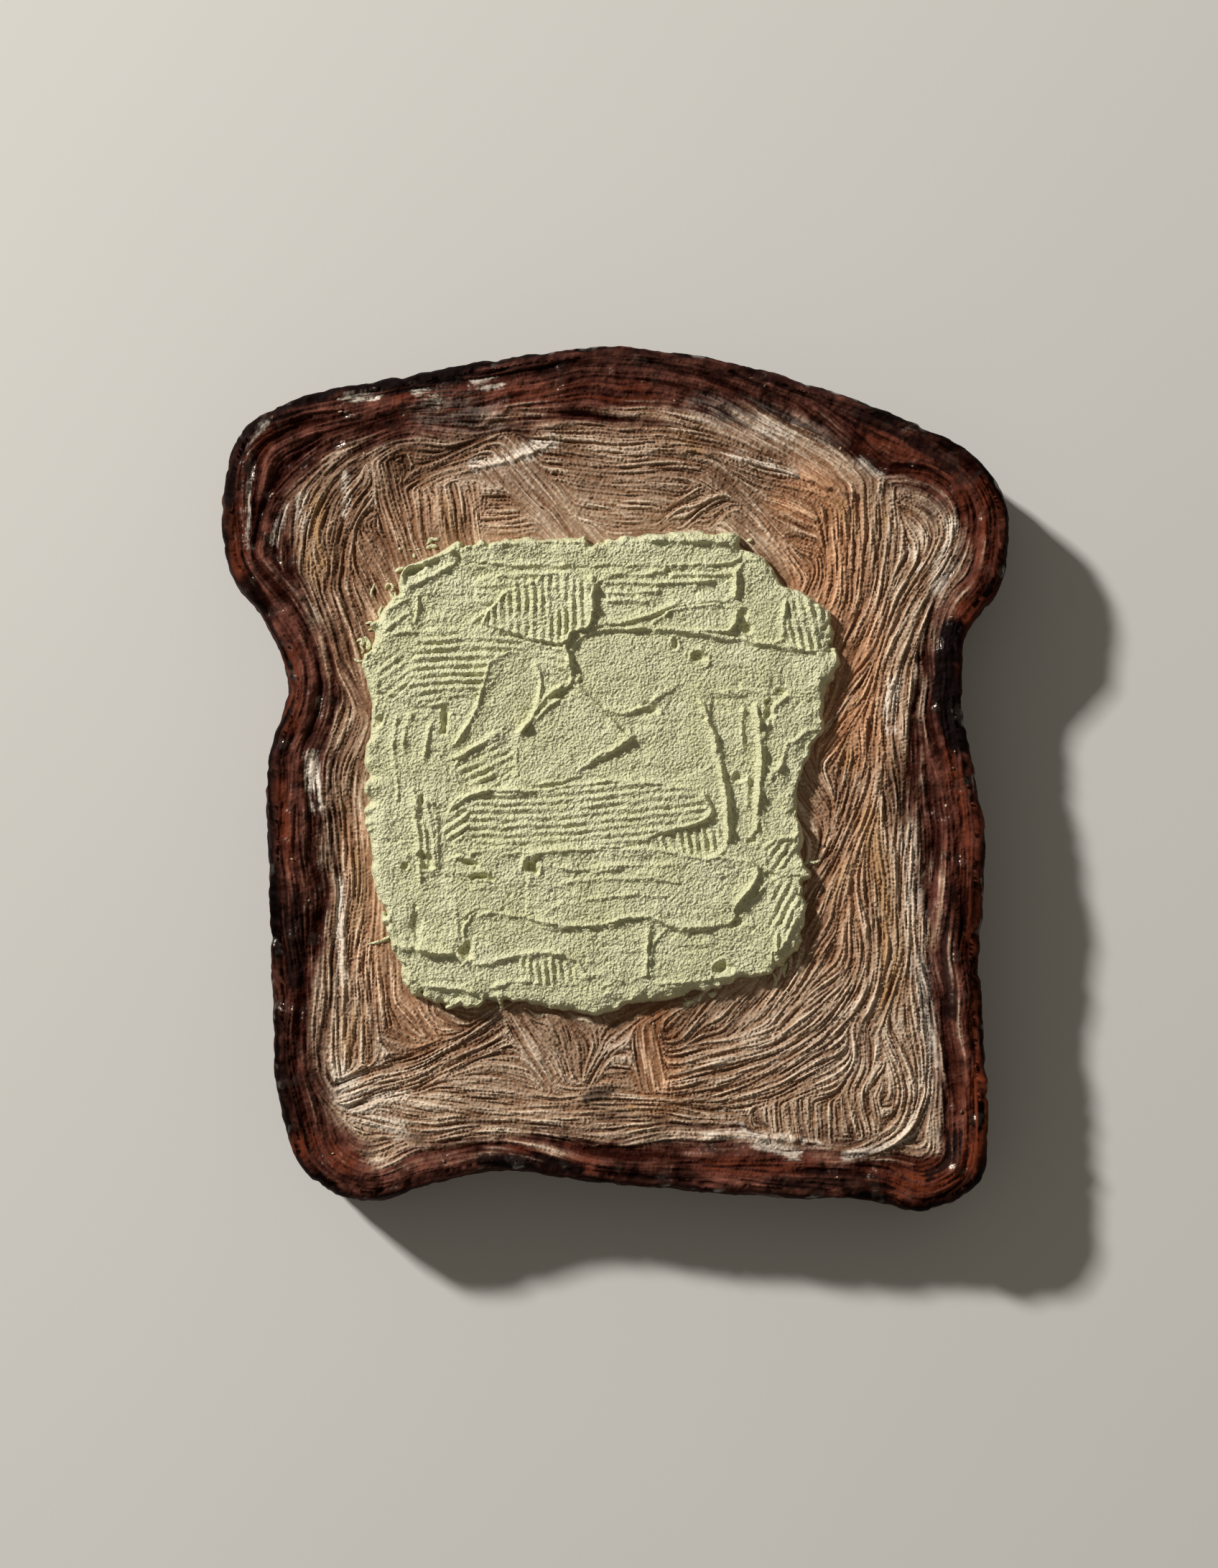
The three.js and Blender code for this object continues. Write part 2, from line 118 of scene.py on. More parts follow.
# Patches of torn crumb, lowest first: half width, roughness, and the line that the strands follow.
GRAIN = [
    (2.4, 1, [(-50, 33), (-48.5, 38), (-45, 43), (-40, 46.5), (-33, 49), (-25, 50.5), (-15, 50), (-5, 50.3),
        (2, 50)]),
    (2.5, 1, [(-45, 30), (-44, 36), (-41, 41), (-37, 45), (-32, 47.3), (-26, 47.6), (-20, 47)]),
    (2.2, 1, [(-40, 28), (-39.5, 34), (-37.5, 39), (-34.5, 43), (-31, 45), (-26, 45.2)]),
    (3.4, 0.8, [(-32, 44.5), (-30.5, 38), (-28.5, 29)]), (5, 0.8, [(-24.5, 42.5), (-24, 37), (-22.6, 31)]),
    (1.6, 1.1, [(-29, 42), (-24, 44.5), (-20, 47), (-15, 48.6), (-10, 49.3), (-4, 49.6), (2, 49.8)]),
    (1.5, 0.8, [(-28, 42.3), (-24, 43.4), (-17.5, 43.6)]), (3.9, 0.5, [(-16.5, 46), (-11, 40), (-5, 32.5)]),
    (3.2, 0.9, [(-9, 45.2), (0, 44.6), (8, 44.4)]), (3.2, 0.7, [(-5, 39.5), (3, 38.8), (8, 37.5)]),
    (3, 0.9, [(-2, 52.5), (8, 52), (16, 50.5), (23, 47.8), (30, 43.5), (36, 39)]),
    (1.4, 1, [(0, 47.8), (9, 47.6), (15, 46.6), (20, 44.8)]),
    (2.8, 0.4, [(15, 52), (22, 48.5), (28, 44), (33, 40.5)]), (2.5, 0.6, [(27, 52), (33, 46.5), (37, 42.5)]),
    (2.2, 0.6, [(20, 38.5), (25, 37), (29, 35)]), (3.3, 0.8, [(12, 42.5), (17, 38), (21, 33), (24.5, 28)]),
    (0.9, 1.2, [(6, 35.2), (8.5, 38.5), (11.5, 40.5)]), (0.9, 1.2, [(9.5, 35.2), (11.5, 38), (14.5, 39.5)]),
    (0.8, 1.2, [(13, 35.2), (14.5, 37.2), (16.5, 38)]), (2, 0.9, [(30, 37), (30, 27)]),
    (2.3, 0.9, [(34, 40), (34.5, 33), (33.5, 25)]),
    (1.5, 0.9, [(38, 42.3), (42, 43), (46, 42), (48.8, 38), (49, 33), (46.5, 28), (43, 24.5)]),
    (1.6, 1, [(38.5, 39.5), (42.5, 39.5), (45.5, 37), (46, 33), (44, 29)]),
    (1.3, 1, [(38.5, 37.5), (41, 37), (43, 34.5), (43, 31.5), (41.5, 28.5)]),
    (1, 1.1, [(39, 33.5), (41.5, 33), (41.5, 31)]), (2.6, 0.9, [(47, 31), (44, 26), (41, 20), (37.5, 14.5)]),
    (2.6, 0.9, [(38, 40), (37.5, 32), (36.5, 26), (34, 18), (31.5, 11), (29, 5)]),
    (2, 0.9, [(35, 27), (32.5, 19), (31, 13)]), (2.6, 0.9, [(36.5, 15), (32, 9), (28, 3.5)]),
    (1.8, 0.8, [(25.5, 2.8), (28.5, -4)]), (1.8, 0.8, [(25.5, -4), (29, -10)]),
    (1.9, 1, [(42, 10), (40.5, 0), (39.5, -8), (38.8, -16), (38.8, -26), (38, -34)]),
    (2.4, 1, [(38.2, 17), (36.5, 8), (35.5, 0), (33.5, -7), (30, -15), (26, -22)]),
    (1.8, 1, [(33, 2), (31, -6), (27.5, -13), (25, -17)]),
    (1.7, 1, [(30, -20), (33, -12), (35.5, -4), (37, 4)]),
    (1.5, 1, [(35.8, -10), (36.5, -18), (36, -26), (33.5, -32)]),
    (2.6, 1, [(5, -44.5), (13, -43.8), (20, -41), (27, -36.5), (32, -31.5), (34.5, -25), (34.5, -16)]),
    (2.2, 1, [(8, -40.5), (16, -39), (23, -35.5), (28.5, -31), (31.5, -26)]),
    (2, 0.9, [(9, -36.5), (17, -34.5), (24, -31.5), (30, -28)]), (2.2, 0.8, [(8, -35.5), (14, -29.5)]),
    (2.3, 0.8, [(14.5, -35), (20.5, -29)]), (2, 0.9, [(21, -34), (26, -27), (29, -22)]),
    (2.2, 1, [(14, -46.5), (22, -44.5), (29, -41), (34, -36.5), (37, -31), (38, -25)]),
    (1.6, 1, [(20, -47), (28, -45.5), (33.5, -42.5), (37.5, -38.5)]),
    (1.8, 0.9, [(33, -36), (33.5, -40.5), (31, -44.5)]),
    (1.8, 1.1, [(42, -22), (42.7, -32), (43.3, -40), (41.5, -47), (37.5, -51.5), (31, -53)]),
    (1.8, 1.1, [(36.8, -36), (38.6, -41), (39.2, -45.5), (38, -49.3), (34, -51.2)]),
    (1.6, 0.9, [(0, -46.3), (8, -46.8), (16, -48)]), (1.4, 0.9, [(0, -50.5), (8, -49), (18, -50)]),
    (9, 0.9, [(27, -46.2), (27.4, -50.4)]),
    (1.6, 1, [(-44, -28), (-43.3, -38), (-41.5, -44), (-36, -48), (-28, -49.5)]),
    (2.6, 0.8, [(-39.5, -27), (-39, -36), (-37.5, -42), (-33, -45), (-26, -46)]),
    (2.2, 1, [(-37, -24), (-37, -40)]), (1.6, 0.9, [(-34.5, -29), (-34, -38)]),
    (2, 0.9, [(-31, -31), (-27, -36.5)]), (1.6, 0.7, [(-33, -36), (-26, -38.5)]),
    (1.8, 0.6, [(-25, -32.5), (-20, -35)]), (2, 0.7, [(-23, -41), (-16, -41.3), (-9, -43.3)]),
    (2.2, 0.8, [(-30, -43.5), (-22, -45.3), (-12, -45.6), (-4, -45.4), (2, -46)]),
    (2.8, 1.2, [(-39, -44), (-33, -42), (-25, -39), (-19, -36), (-14.5, -33)]),
    (2.3, 0.8, [(-15, -33), (-12, -38.5), (-9.5, -42)]), (2.2, 0.9, [(-9, -34), (-6.5, -42)]),
    (1.6, 0.9, [(-4, -34), (-2.5, -37.5), (-4.5, -41.5)]), (1.8, 0.9, [(-2, -37), (1.5, -34), (6, -31)]),
    (2.2, 0.4, [(3.2, -35), (3.5, -43)]), (1.6, 0.8, [(-39, 15), (-35.5, 9.5)]),
]

# Welts of torn crumb: height, half width, and line.
WELTS = [
    (0.55, 0.45, [(9, 46), (16, 45.3), (20, 44), (25, 42.5), (29, 41), (34, 39.5)]),
    (0.5, 0.45, [(12, -50.3), (20, -50.6), (27, -51.5), (31, -52.8), (36, -52.5), (39, -50.5)]),
    (0.35, 0.35, [(-21, 43.8), (-14, 45.2), (-9, 47.6)]),
    (0.35, 0.35, [(-19, 50), (-15.5, 52), (-15, 54), (-16, 55.5)]), (0.35, 0.3, [(-39.3, -15), (-39.3, -26)]),
    (0.35, 0.35, [(41, -3), (41.5, -12), (42.5, -20)]),
    (0.3, 0.35, [(-50.5, 44), (-51.5, 40), (-51.5, 37), (-52, 34), (-51, 30)]),
    (0.3, 0.4, [(34, 44.5), (37.5, 42), (40, 41)]), (0.3, 0.35, [(-6, -44.8), (-3.5, -45.4), (-1.5, -44.6)]),
]

# Strokes of each tint on the toasted face: strength, half width, softness, and line.
TINTS = {
    "umber": [
        (0.65, 5, 3.5, [(-44, 30), (-41, 40), (-33, 46), (-22, 47)]),
        (0.3, 4, 3, [(-41, 20), (-41.5, 5), (-41, -18)]), (0.5, 4, 4, [(-20, 45), (0, 46), (20, 44)]),
        (0.3, 3, 2.5, [(-20, -36), (-8, -38), (6, -36), (14, -33)]),
        (0.5, 2, 1.6, [(26, -24), (29, -12), (31, -2)]), (0.6, 2.2, 2, [(-38, 24), (-36, 12), (-37, 2)]),
        (0.5, 2.6, 2.2, [(-36, 29), (-31, 34), (-24, 36.5)]),
    ],
    "warm": [
        (0.8, 5, 4, [(27, 38), (31, 24), (32, 6)]), (0.35, 4, 3.5, [(32, -4), (30, -22)]),
        (0.3, 4, 4, [(-19, 36), (-30, 37), (-36, 28), (-37, 14)]), (0.8, 2.6, 2, [(4, -35), (5, -44)]),
        (0.5, 3, 3, [(-36, -8), (-35, -27), (-28, -35)]),
    ],
    # Pale cream streaks of the crumb; the last stroke, along the crust's left brim, is a painted glint line.
    "pale_and_glint": [
        (0.9, 0.7, 0.6, [(-20, 44.3), (-14, 45.5), (-9, 47.8)]), (0.6, 0.25, 0.25, [(-38.3, 43), (-38, 38)]),
        (0.7, 0.6, 0.5, [(-44.2, 40), (-44, 35.5)]), (0.6, 0.3, 0.3, [(-46.5, 39), (-49, 34)]),
        (0.8, 0.9, 0.8, [(20.5, 49.2), (24.5, 48)]), (0.15, 1.8, 1.4, [(12, 51.8), (20, 50.3), (28, 47)]),
        (0.7, 0.5, 0.5, [(16, 45.3), (21, 44), (25, 42.7)]), (0.5, 0.4, 0.4, [(34.5, 44), (37, 42.3)]),
        (0.7, 0.9, 0.8, [(46.8, 35), (47, 32), (44.5, 27)]), (0.6, 0.4, 0.4, [(41.5, 32), (42.5, 29)]),
        (0.8, 0.7, 0.5, [(38.4, 13), (38.2, 6.5)]),
        (0.9, 0.6, 0.5, [(-43.5, 3.6), (-43.2, 0), (-41.9, -3.4)]),
        (0.8, 0.4, 0.4, [(-39.5, -14), (-39.3, -20), (-39.6, -28)]),
        (0.6, 1.6, 1.4, [(-39.5, -41), (-38, -45.5), (-32, -47.5)]),
        (0.7, 0.6, 0.5, [(-36, -43.6), (-31, -44.5)]),
        (0.6, 0.8, 0.8, [(41.3, -28), (42.8, -38), (42.2, -44), (39.5, -50), (36, -52)]),
        (0.6, 0.3, 0.3, [(36.5, -43.8), (43, -44.6)]),
        (0.7, 0.7, 0.5, [(18.5, -51.2), (21.5, -52), (23.3, -53)]),
        (0.8, 0.4, 0.3, [(11, -50.1), (20, -50.5), (27, -51.4)]),
        (0.7, 0.5, 0.4, [(30.5, -53), (36, -52.6), (39, -50.6)]),
        (0.5, 0.5, 0.5, [(13.5, -47.4), (16.5, -48.2)]), (0.7, 0.4, 0.3, [(-38, 54.3), (-33.5, 53.7)]),
        (0.7, 0.35, 0.3, [(-28.5, 54.3), (-25.3, 54)]), (0.6, 0.4, 0.4, [(-20, 55.8), (-16.5, 55.6)]),
        (0.12, 2, 1.8, [(-26, 51.8), (-18, 51.6)]), (0.4, 1, 0.8, [(40.2, -8), (40.4, -16), (41.3, -28)]),
        (0.2, 3, 2.5, [(20, -36), (30, -40), (38, -36)]),
        (0.5, 0.3, 0.3, [(-51.9, 33), (-52.3, 38), (-51.9, 44), (-51, 48.5), (-49.5, 50.5)]),
    ],
    "ochre": [
        (0.8, 1.1, 0.9, [(-42.4, 39), (-41.5, 31)]), (0.5, 0.7, 0.6, [(-44.5, 34), (-42.5, 28)]),
        (0.8, 0.8, 0.5, [(31.6, 3.6), (32.4, 0.8)]),
        (0.8, 1.3, 1, [(34.8, -6), (36.8, -15), (37.8, -26), (36.6, -34)]),
        (0.9, 0.9, 0.7, [(-38.8, -33), (-38, -41)]), (0.5, 0.5, 0.5, [(-36.4, -32), (-36, -41)]),
        (0.9, 0.4, 0.3, [(0.5, -46.2), (3.6, -46.6)]), (0.7, 0.6, 0.5, [(10, -46.4), (14, -46.8)]),
        (0.5, 1.2, 1, [(30.5, 38), (34, 35)]), (0.5, 0.7, 0.6, [(35, 38.5), (37.6, 36)]),
        (0.4, 1.4, 1.2, [(-24, 39), (-23, 34)]), (0.5, 0.8, 0.6, [(33.5, -8), (29, -18)]),
        (0.6, 0.8, 0.6, [(9, 48.5), (11.5, 46.5)]), (0.6, 0.9, 0.7, [(-37, -10), (-37.2, -20)]),
    ],
    "russet": [
        (1, 0.7, 0.6, [(51.3, 41), (52.4, 36), (51.3, 30)]),
        (1, 0.6, 0.6, [(47, 0), (48.2, -6), (48.9, -12)]), (0.8, 0.8, 0.6, [(50.3, 3), (50.8, -8)]),
        (0.7, 0.7, 0.6, [(46, 3), (46.4, -3)]), (0.6, 1.2, 0.9, [(11, -54.2), (20, -55), (25, -54.4)]),
        (0.9, 0.8, 0.7, [(-16, -51.2), (-9, -52), (-5, -53.8)]),
        (0.8, 1.5, 1.2, [(-45, -50.6), (-39, -52.6)]),
        (1, 1.6, 1.3, [(38, -57.5), (45, -56.5), (49, -52), (49.6, -42)]),
        (0.6, 1.2, 0.9, [(-53, 38), (-53.4, 30)]), (0.6, 0.8, 0.7, [(-46.5, -12), (-47.6, 0)]),
        (0.7, 1.1, 0.8, [(47, 27), (49, 22)]), (0.5, 1.4, 1, [(-45.5, 18), (-46.4, 8)]),
        (0.5, 1, 0.8, [(-48.8, 51), (-50, 47)]), (0.5, 1.5, 1.2, [(-30, 53), (-14, 54), (4, 54)]),
        (0.5, 1.6, 1.2, [(36, 47.5), (44, 43.5), (49, 38)]), (0.5, 1.2, 0.9, [(47.6, -16), (47.8, -24)]),
        (0.3, 3, 2.5, [(51, 38), (50, 12), (49, -14), (50, -36)]),
        (0.4, 2.5, 2.5, [(50, -40), (48, -54), (36, -57)]),
    ],
    "scorch": [
        (1, 2, 1, [(46.8, 20), (45.6, 12), (47.8, 4.6)]),
        (0.9, 0.7, 0.5, [(42, -56), (45, -54.2), (45.8, -51)]),
        (0.9, 1, 0.7, [(-20, -53.2), (-13, -53.2), (-7, -54.6)]),
        (0.9, 1, 0.8, [(-40, 56), (-30, 55.6), (-22, 57.4)]),
        (0.8, 0.9, 0.7, [(34, 51), (40, 48.2), (47, 43)]),
        (0.8, 0.7, 0.6, [(46, -16), (45.2, -26), (46, -34)]),
        (0.35, 1.4, 1, [(-22, 57.8), (-5, 58.8), (12, 58.2), (28, 55), (40, 50)]),
        (0.8, 0.5, 0.4, [(37, 42.4), (38.4, 40.8)]), (0.7, 0.7, 0.5, [(-5, -44.6), (-2.5, -44)]),
        (0.8, 1, 0.8, [(-55, 40), (-53.6, 47.5), (-48, 52.4), (-40, 55.4)]),
        (0.8, 1, 0.8, [(-46, -16), (-46.3, -28)]), (0.7, 1, 0.8, [(20, -56.5), (28, -57), (36, -57.4)]),
    ],
}

# Round the spread, clockwise from its upper left corner: x, y.
BUTTER_OUTLINE = [
    (-22.4, 32.9), (-18, 33.5), (-10, 33.8), (-3, 33.2), (6, 34.5), (12, 34.1), (17.3, 34.2), (16.6, 31.5),
    (20.5, 31), (22.4, 28.5), (23.6, 25.9), (25.8, 26), (28.6, 24.2), (29.8, 20), (30.7, 14), (28.7, 12),
    (28.7, 8.5), (28.2, 5.3), (25.6, 1.9), (24.6, 0), (24.3, -5), (25.2, -8), (24.8, -12), (26.2, -13.6),
    (24.9, -16), (25.7, -19.5), (24.4, -24.6), (21.3, -27.4), (15, -28.9), (8, -30.6), (2, -31.4),
    (-4, -33.2), (-10, -32), (-17, -31.3), (-18.5, -30.3), (-21, -32.2), (-27.5, -30.3), (-30.2, -29.4),
    (-32, -25), (-33, -20.5), (-34.4, -16.5), (-35.2, -10.5), (-36, -3), (-35.2, 7), (-34.9, 11.5),
    (-36.6, 17.3), (-34.3, 19), (-33.9, 21.6), (-33.3, 24.4), (-31.6, 25.6), (-30.1, 26.2), (-30.5, 27.8),
    (-31, 29.3), (-29.8, 30.4), (-28, 30.6), (-26, 31.5), (-24.5, 32.3),
]

# The edge of the spread near these places: x, y, thickness, and how far it is rounded off.
EDGE_SHAPE = [
    (-22, 33, 1.1, 0.4), (0, 33, 0.9, 0.6), (16, 34, 1.1, 0.6), (23, 28, 0.6, 0.75), (29, 22, 0.7, 0.75),
    (29, 8, 0.6, 0.75), (24.5, -3, 1.6, 0.75), (24.8, -9, 2.9, 0.75), (25.5, -16, 1.1, 0.75),
    (23.5, -26, 1, 0.9), (8, -30.6, 0.8, 0.75), (-4, -33, 1.2, 0.7), (-18, -31, 1.2, 0.6),
    (-28, -30.4, 1.2, 0.6), (-33, -20, 0.9, 0.6), (-36, 0, 0.7, 0.6), (-36, 17, 1.2, 0.4),
    (-30, 29, 1.6, 0.3),
]

# Flat places left by the knife: height, slopes to +X and +Y, softness of the step, and outline.
FACETS = [
    (2.15, 0, 0, 0.6, [(-38, -13), (-38, 12), (-33, 13), (-29, 10.3), (-25.2, 10), (-24.5, 5), (-24.5, -9),
        (-25.5, -13)]),
    (2.1, 0.02, 0, 0.6, [(-36, -13), (-25, -13.5), (-23, -19.5), (-23, -24), (-32.5, -22.8), (-36, -18)]),
    (2.2, 0, 0.02, 0.4, [(-34, -23), (-24, -24.3), (-22.3, -25), (-21.5, -26.4), (-20.5, -29.5), (-23, -29.4),
        (-28.5, -28.6), (-33, -27)]),
    (2.05, 0, 0, 0.4, [(-28.6, 21), (-28.4, 27.2), (-22, 30), (-18, 29.6), (-15, 28), (-19, 22.5),
        (-22, 21.2), (-25, 20.7)]),
    (2.35, 0.03, -0.02, 0.5, [(-36, 20), (-35, 26), (-31, 27), (-28.7, 27.3), (-28.7, 21), (-30, 20.6)]),
    (2.3, 0.02, 0.02, 0.25, [(-31.5, 26.6), (-31, 30), (-28, 32), (-25, 33), (-22.4, 32.6), (-22.2, 30.5),
        (-26.5, 28.1), (-30.4, 26.4)]),
    (2.5, 0, 0, 0.6, [(-36, 13), (-35, 19.5), (-29.8, 20.9), (-25, 20.5), (-20, 21.3), (-15, 20.6), (-7, 19),
        (-7.5, 12.6), (-10, 12), (-12, 17), (-14.3, 18.2), (-18.2, 17.4), (-19, 14), (-19.8, 11.5), (-23, 12),
        (-25, 10.2), (-29, 10.3), (-31, 11.5)]),
    (2.85, 0.02, 0, 0.25, [(-19, 22.5), (-15.8, 26.4), (-15.6, 28.9), (-3.5, 28.9), (-3.4, 21.3),
        (-6.5, 20.4), (-8, 18.6), (-12, 19.3), (-15, 20.4), (-19, 21.3)]),
    (2.45, 0, 0, 0.3, [(-20, 24.6), (-20, 28.6), (-11, 29), (-11, 27.5), (-15.6, 26.4), (-17.5, 24.6)]),
    (2.38, 0, 0.06, 0.18, [(-22, 34.5), (17.5, 36), (17.5, 30.4), (15, 29.5), (5, 29.6), (-10, 29.8),
        (-20, 30.1), (-22, 30.6)]),
    (2.1, 0, -0.04, 0.25, [(-3.3, 29.5), (16.7, 29.3), (16.6, 24.3), (8.5, 24.3), (5, 22.8), (2, 21.7),
        (-3.3, 21.4)]),
    (2.05, 0.03, 0, 0.3, [(16.8, 30.5), (22, 30.5), (24, 25.5), (23, 21), (22.6, 18.3), (18.6, 18.4),
        (17.2, 19.5), (16.9, 24)]),
    (2.05, 0, 0, 0.3, [(23.6, 26), (30, 26), (31, 20), (28.7, 17.3), (26, 17.1), (22.7, 18.2), (23, 21)]),
    (2.15, 0, 0, 0.4, [(19.6, 11.4), (31, 13), (29, 6), (25.5, 0), (25.5, -9), (19.2, -9), (19.7, 0)]),
    (1.95, 0.006, -0.012, 0.22, [(-6.7, 19.6), (-4, 20.9), (0, 21), (5, 20.6), (10, 20), (15, 19.4),
        (18.5, 18.9), (24, 17.6), (31, 17), (32, 13), (25, 12), (21.5, 11.2), (19.5, 11.5), (10.5, 12.5),
        (9.3, 13.3), (6.5, 12.3), (5, 11), (4, 9.4), (1.5, 9.5), (-2, 9.5), (-6.3, 12.7), (-6, 14.8),
        (-7.2, 16.2), (-6.8, 17.5)]),
    (2.5, 0.02, 0.02, 0.22, [(4, 21.4), (6.5, 22.9), (8.5, 24.1), (15.7, 24), (16.7, 22.8), (16.3, 21),
        (15, 19.9), (10, 20.1), (5, 20.8)]),
    (1.85, 0, 0, 0.25, [(1.5, 9.3), (4.2, 9.4), (5, 10.8), (6.5, 12.1), (9.3, 13.2), (10.8, 11.5), (12.5, 7),
        (14, 1), (5.5, -1), (-5, 0.6), (-5, 1.6), (0.8, 4.6), (1.2, 6.5)]),
    (2.3, 0.02, -0.01, 0.22, [(-15, 4.5), (-14, 6), (-11.8, 8.6), (-10.5, 10), (-7, 12.2), (-4, 10.8),
        (-1.6, 9), (0.2, 6.3), (1.4, 5.2), (-5.5, 1.4), (-6, -0.4), (-15, -1.4)]),
    (1.85, 0, 0, 0.3, [(11.4, 11.3), (19, 11.3), (19.4, 0), (18.7, -9), (15, -9.3), (15.2, -4), (13.8, 2)]),
    (2.15, -0.08, 0.07, 0.18, [(-18, 17.2), (-14.3, 17.9), (-12.3, 16.9), (-11.1, 14.5), (-10.9, 12.3),
        (-12, 8.6), (-13.6, 6.3), (-15, 5.9), (-17, 6.6), (-20, 5.2), (-23.6, 4.2), (-20.3, 9.6),
        (-19.1, 13.8)]),
    (1.95, 0, 0, 0.3, [(-23, -2), (-23.5, 2.8), (-20.5, 4.2), (-16.5, 6.2), (-14.8, 5.2), (-14.8, -2)]),
    (1.95, 0, 0, 0.3, [(3, -9.6), (5, -7.8), (8, -7.5), (11.8, -6), (14.3, -6), (14.8, -10.5), (12, -11.6),
        (8, -10.9)]),
    (2.5, 0.01, 0, 0.2, [(-25, -10.5), (-25, -4.5), (-21.5, -2), (-18, -1.4), (-12, -1.9), (-6, -0.6),
        (0, -0.4), (6, -0.9), (11.3, -2), (12.9, -4.4), (11.8, -6.2), (8, -7.6), (4.5, -8), (3.2, -9.4),
        (-6, -10), (-13, -10.6)]),
    (2.3, 0, 0, 0.4, [(-25, -10.5), (-13.5, -10.2), (-13, -13), (-14, -19), (-18, -18.2), (-20.5, -18.3),
        (-23, -19.7), (-25, -14)]),
    (2.62, 0.006, 0, 0.18, [(-13, -12.5), (-13, -10.6), (-8, -10), (4, -9.9), (8, -10.7), (12, -11.4),
        (17, -11.5), (19.4, -13.1), (18, -15.5), (15.4, -18.6), (15.6, -20), (14.5, -21.1), (8, -21.8),
        (5.6, -20.9), (4, -19.7), (0, -19.7), (-2, -20.4), (-7, -21.3), (-13, -20), (-14, -18)]),
    (2.2, 0.006, 0, 0.22, [(-22.3, -19.8), (-20.5, -18.5), (-18, -18.4), (-13, -20.1), (-7, -21.4),
        (-2, -20.6), (0, -19.9), (4, -19.9), (3.2, -24), (2.9, -29), (-5, -29), (-7, -25), (-11.5, -24.5),
        (-14, -24.7), (-19, -25.9), (-21.6, -26.2), (-22.5, -24.5)]),
    (2.15, 0, 0, 0.3, [(5.6, -21), (8, -21.9), (14.5, -21.2), (16.5, -20.2), (20.5, -22), (21, -28.5),
        (15, -29.4), (10, -29.4), (3.4, -29.4), (3.4, -24)]),
    (1.95, 0, 0, 0.25, [(-21.5, -26.3), (-19, -26), (-14, -24.8), (-11.5, -24.6), (-7, -25.1), (-5, -28),
        (-8, -29), (-13, -28.5), (-17.5, -29), (-20, -30)]),
    (2, 0, 0, 0.3, [(19.7, -9.2), (26, -8.8), (26, -12.5), (22, -13.9), (20, -13)]),
    (2, 0, 0, 0.3, [(19.5, -15), (23, -13.6), (27, -14), (27, -19), (26, -24.5), (22, -27), (20.6, -24),
        (17, -20)]),
]

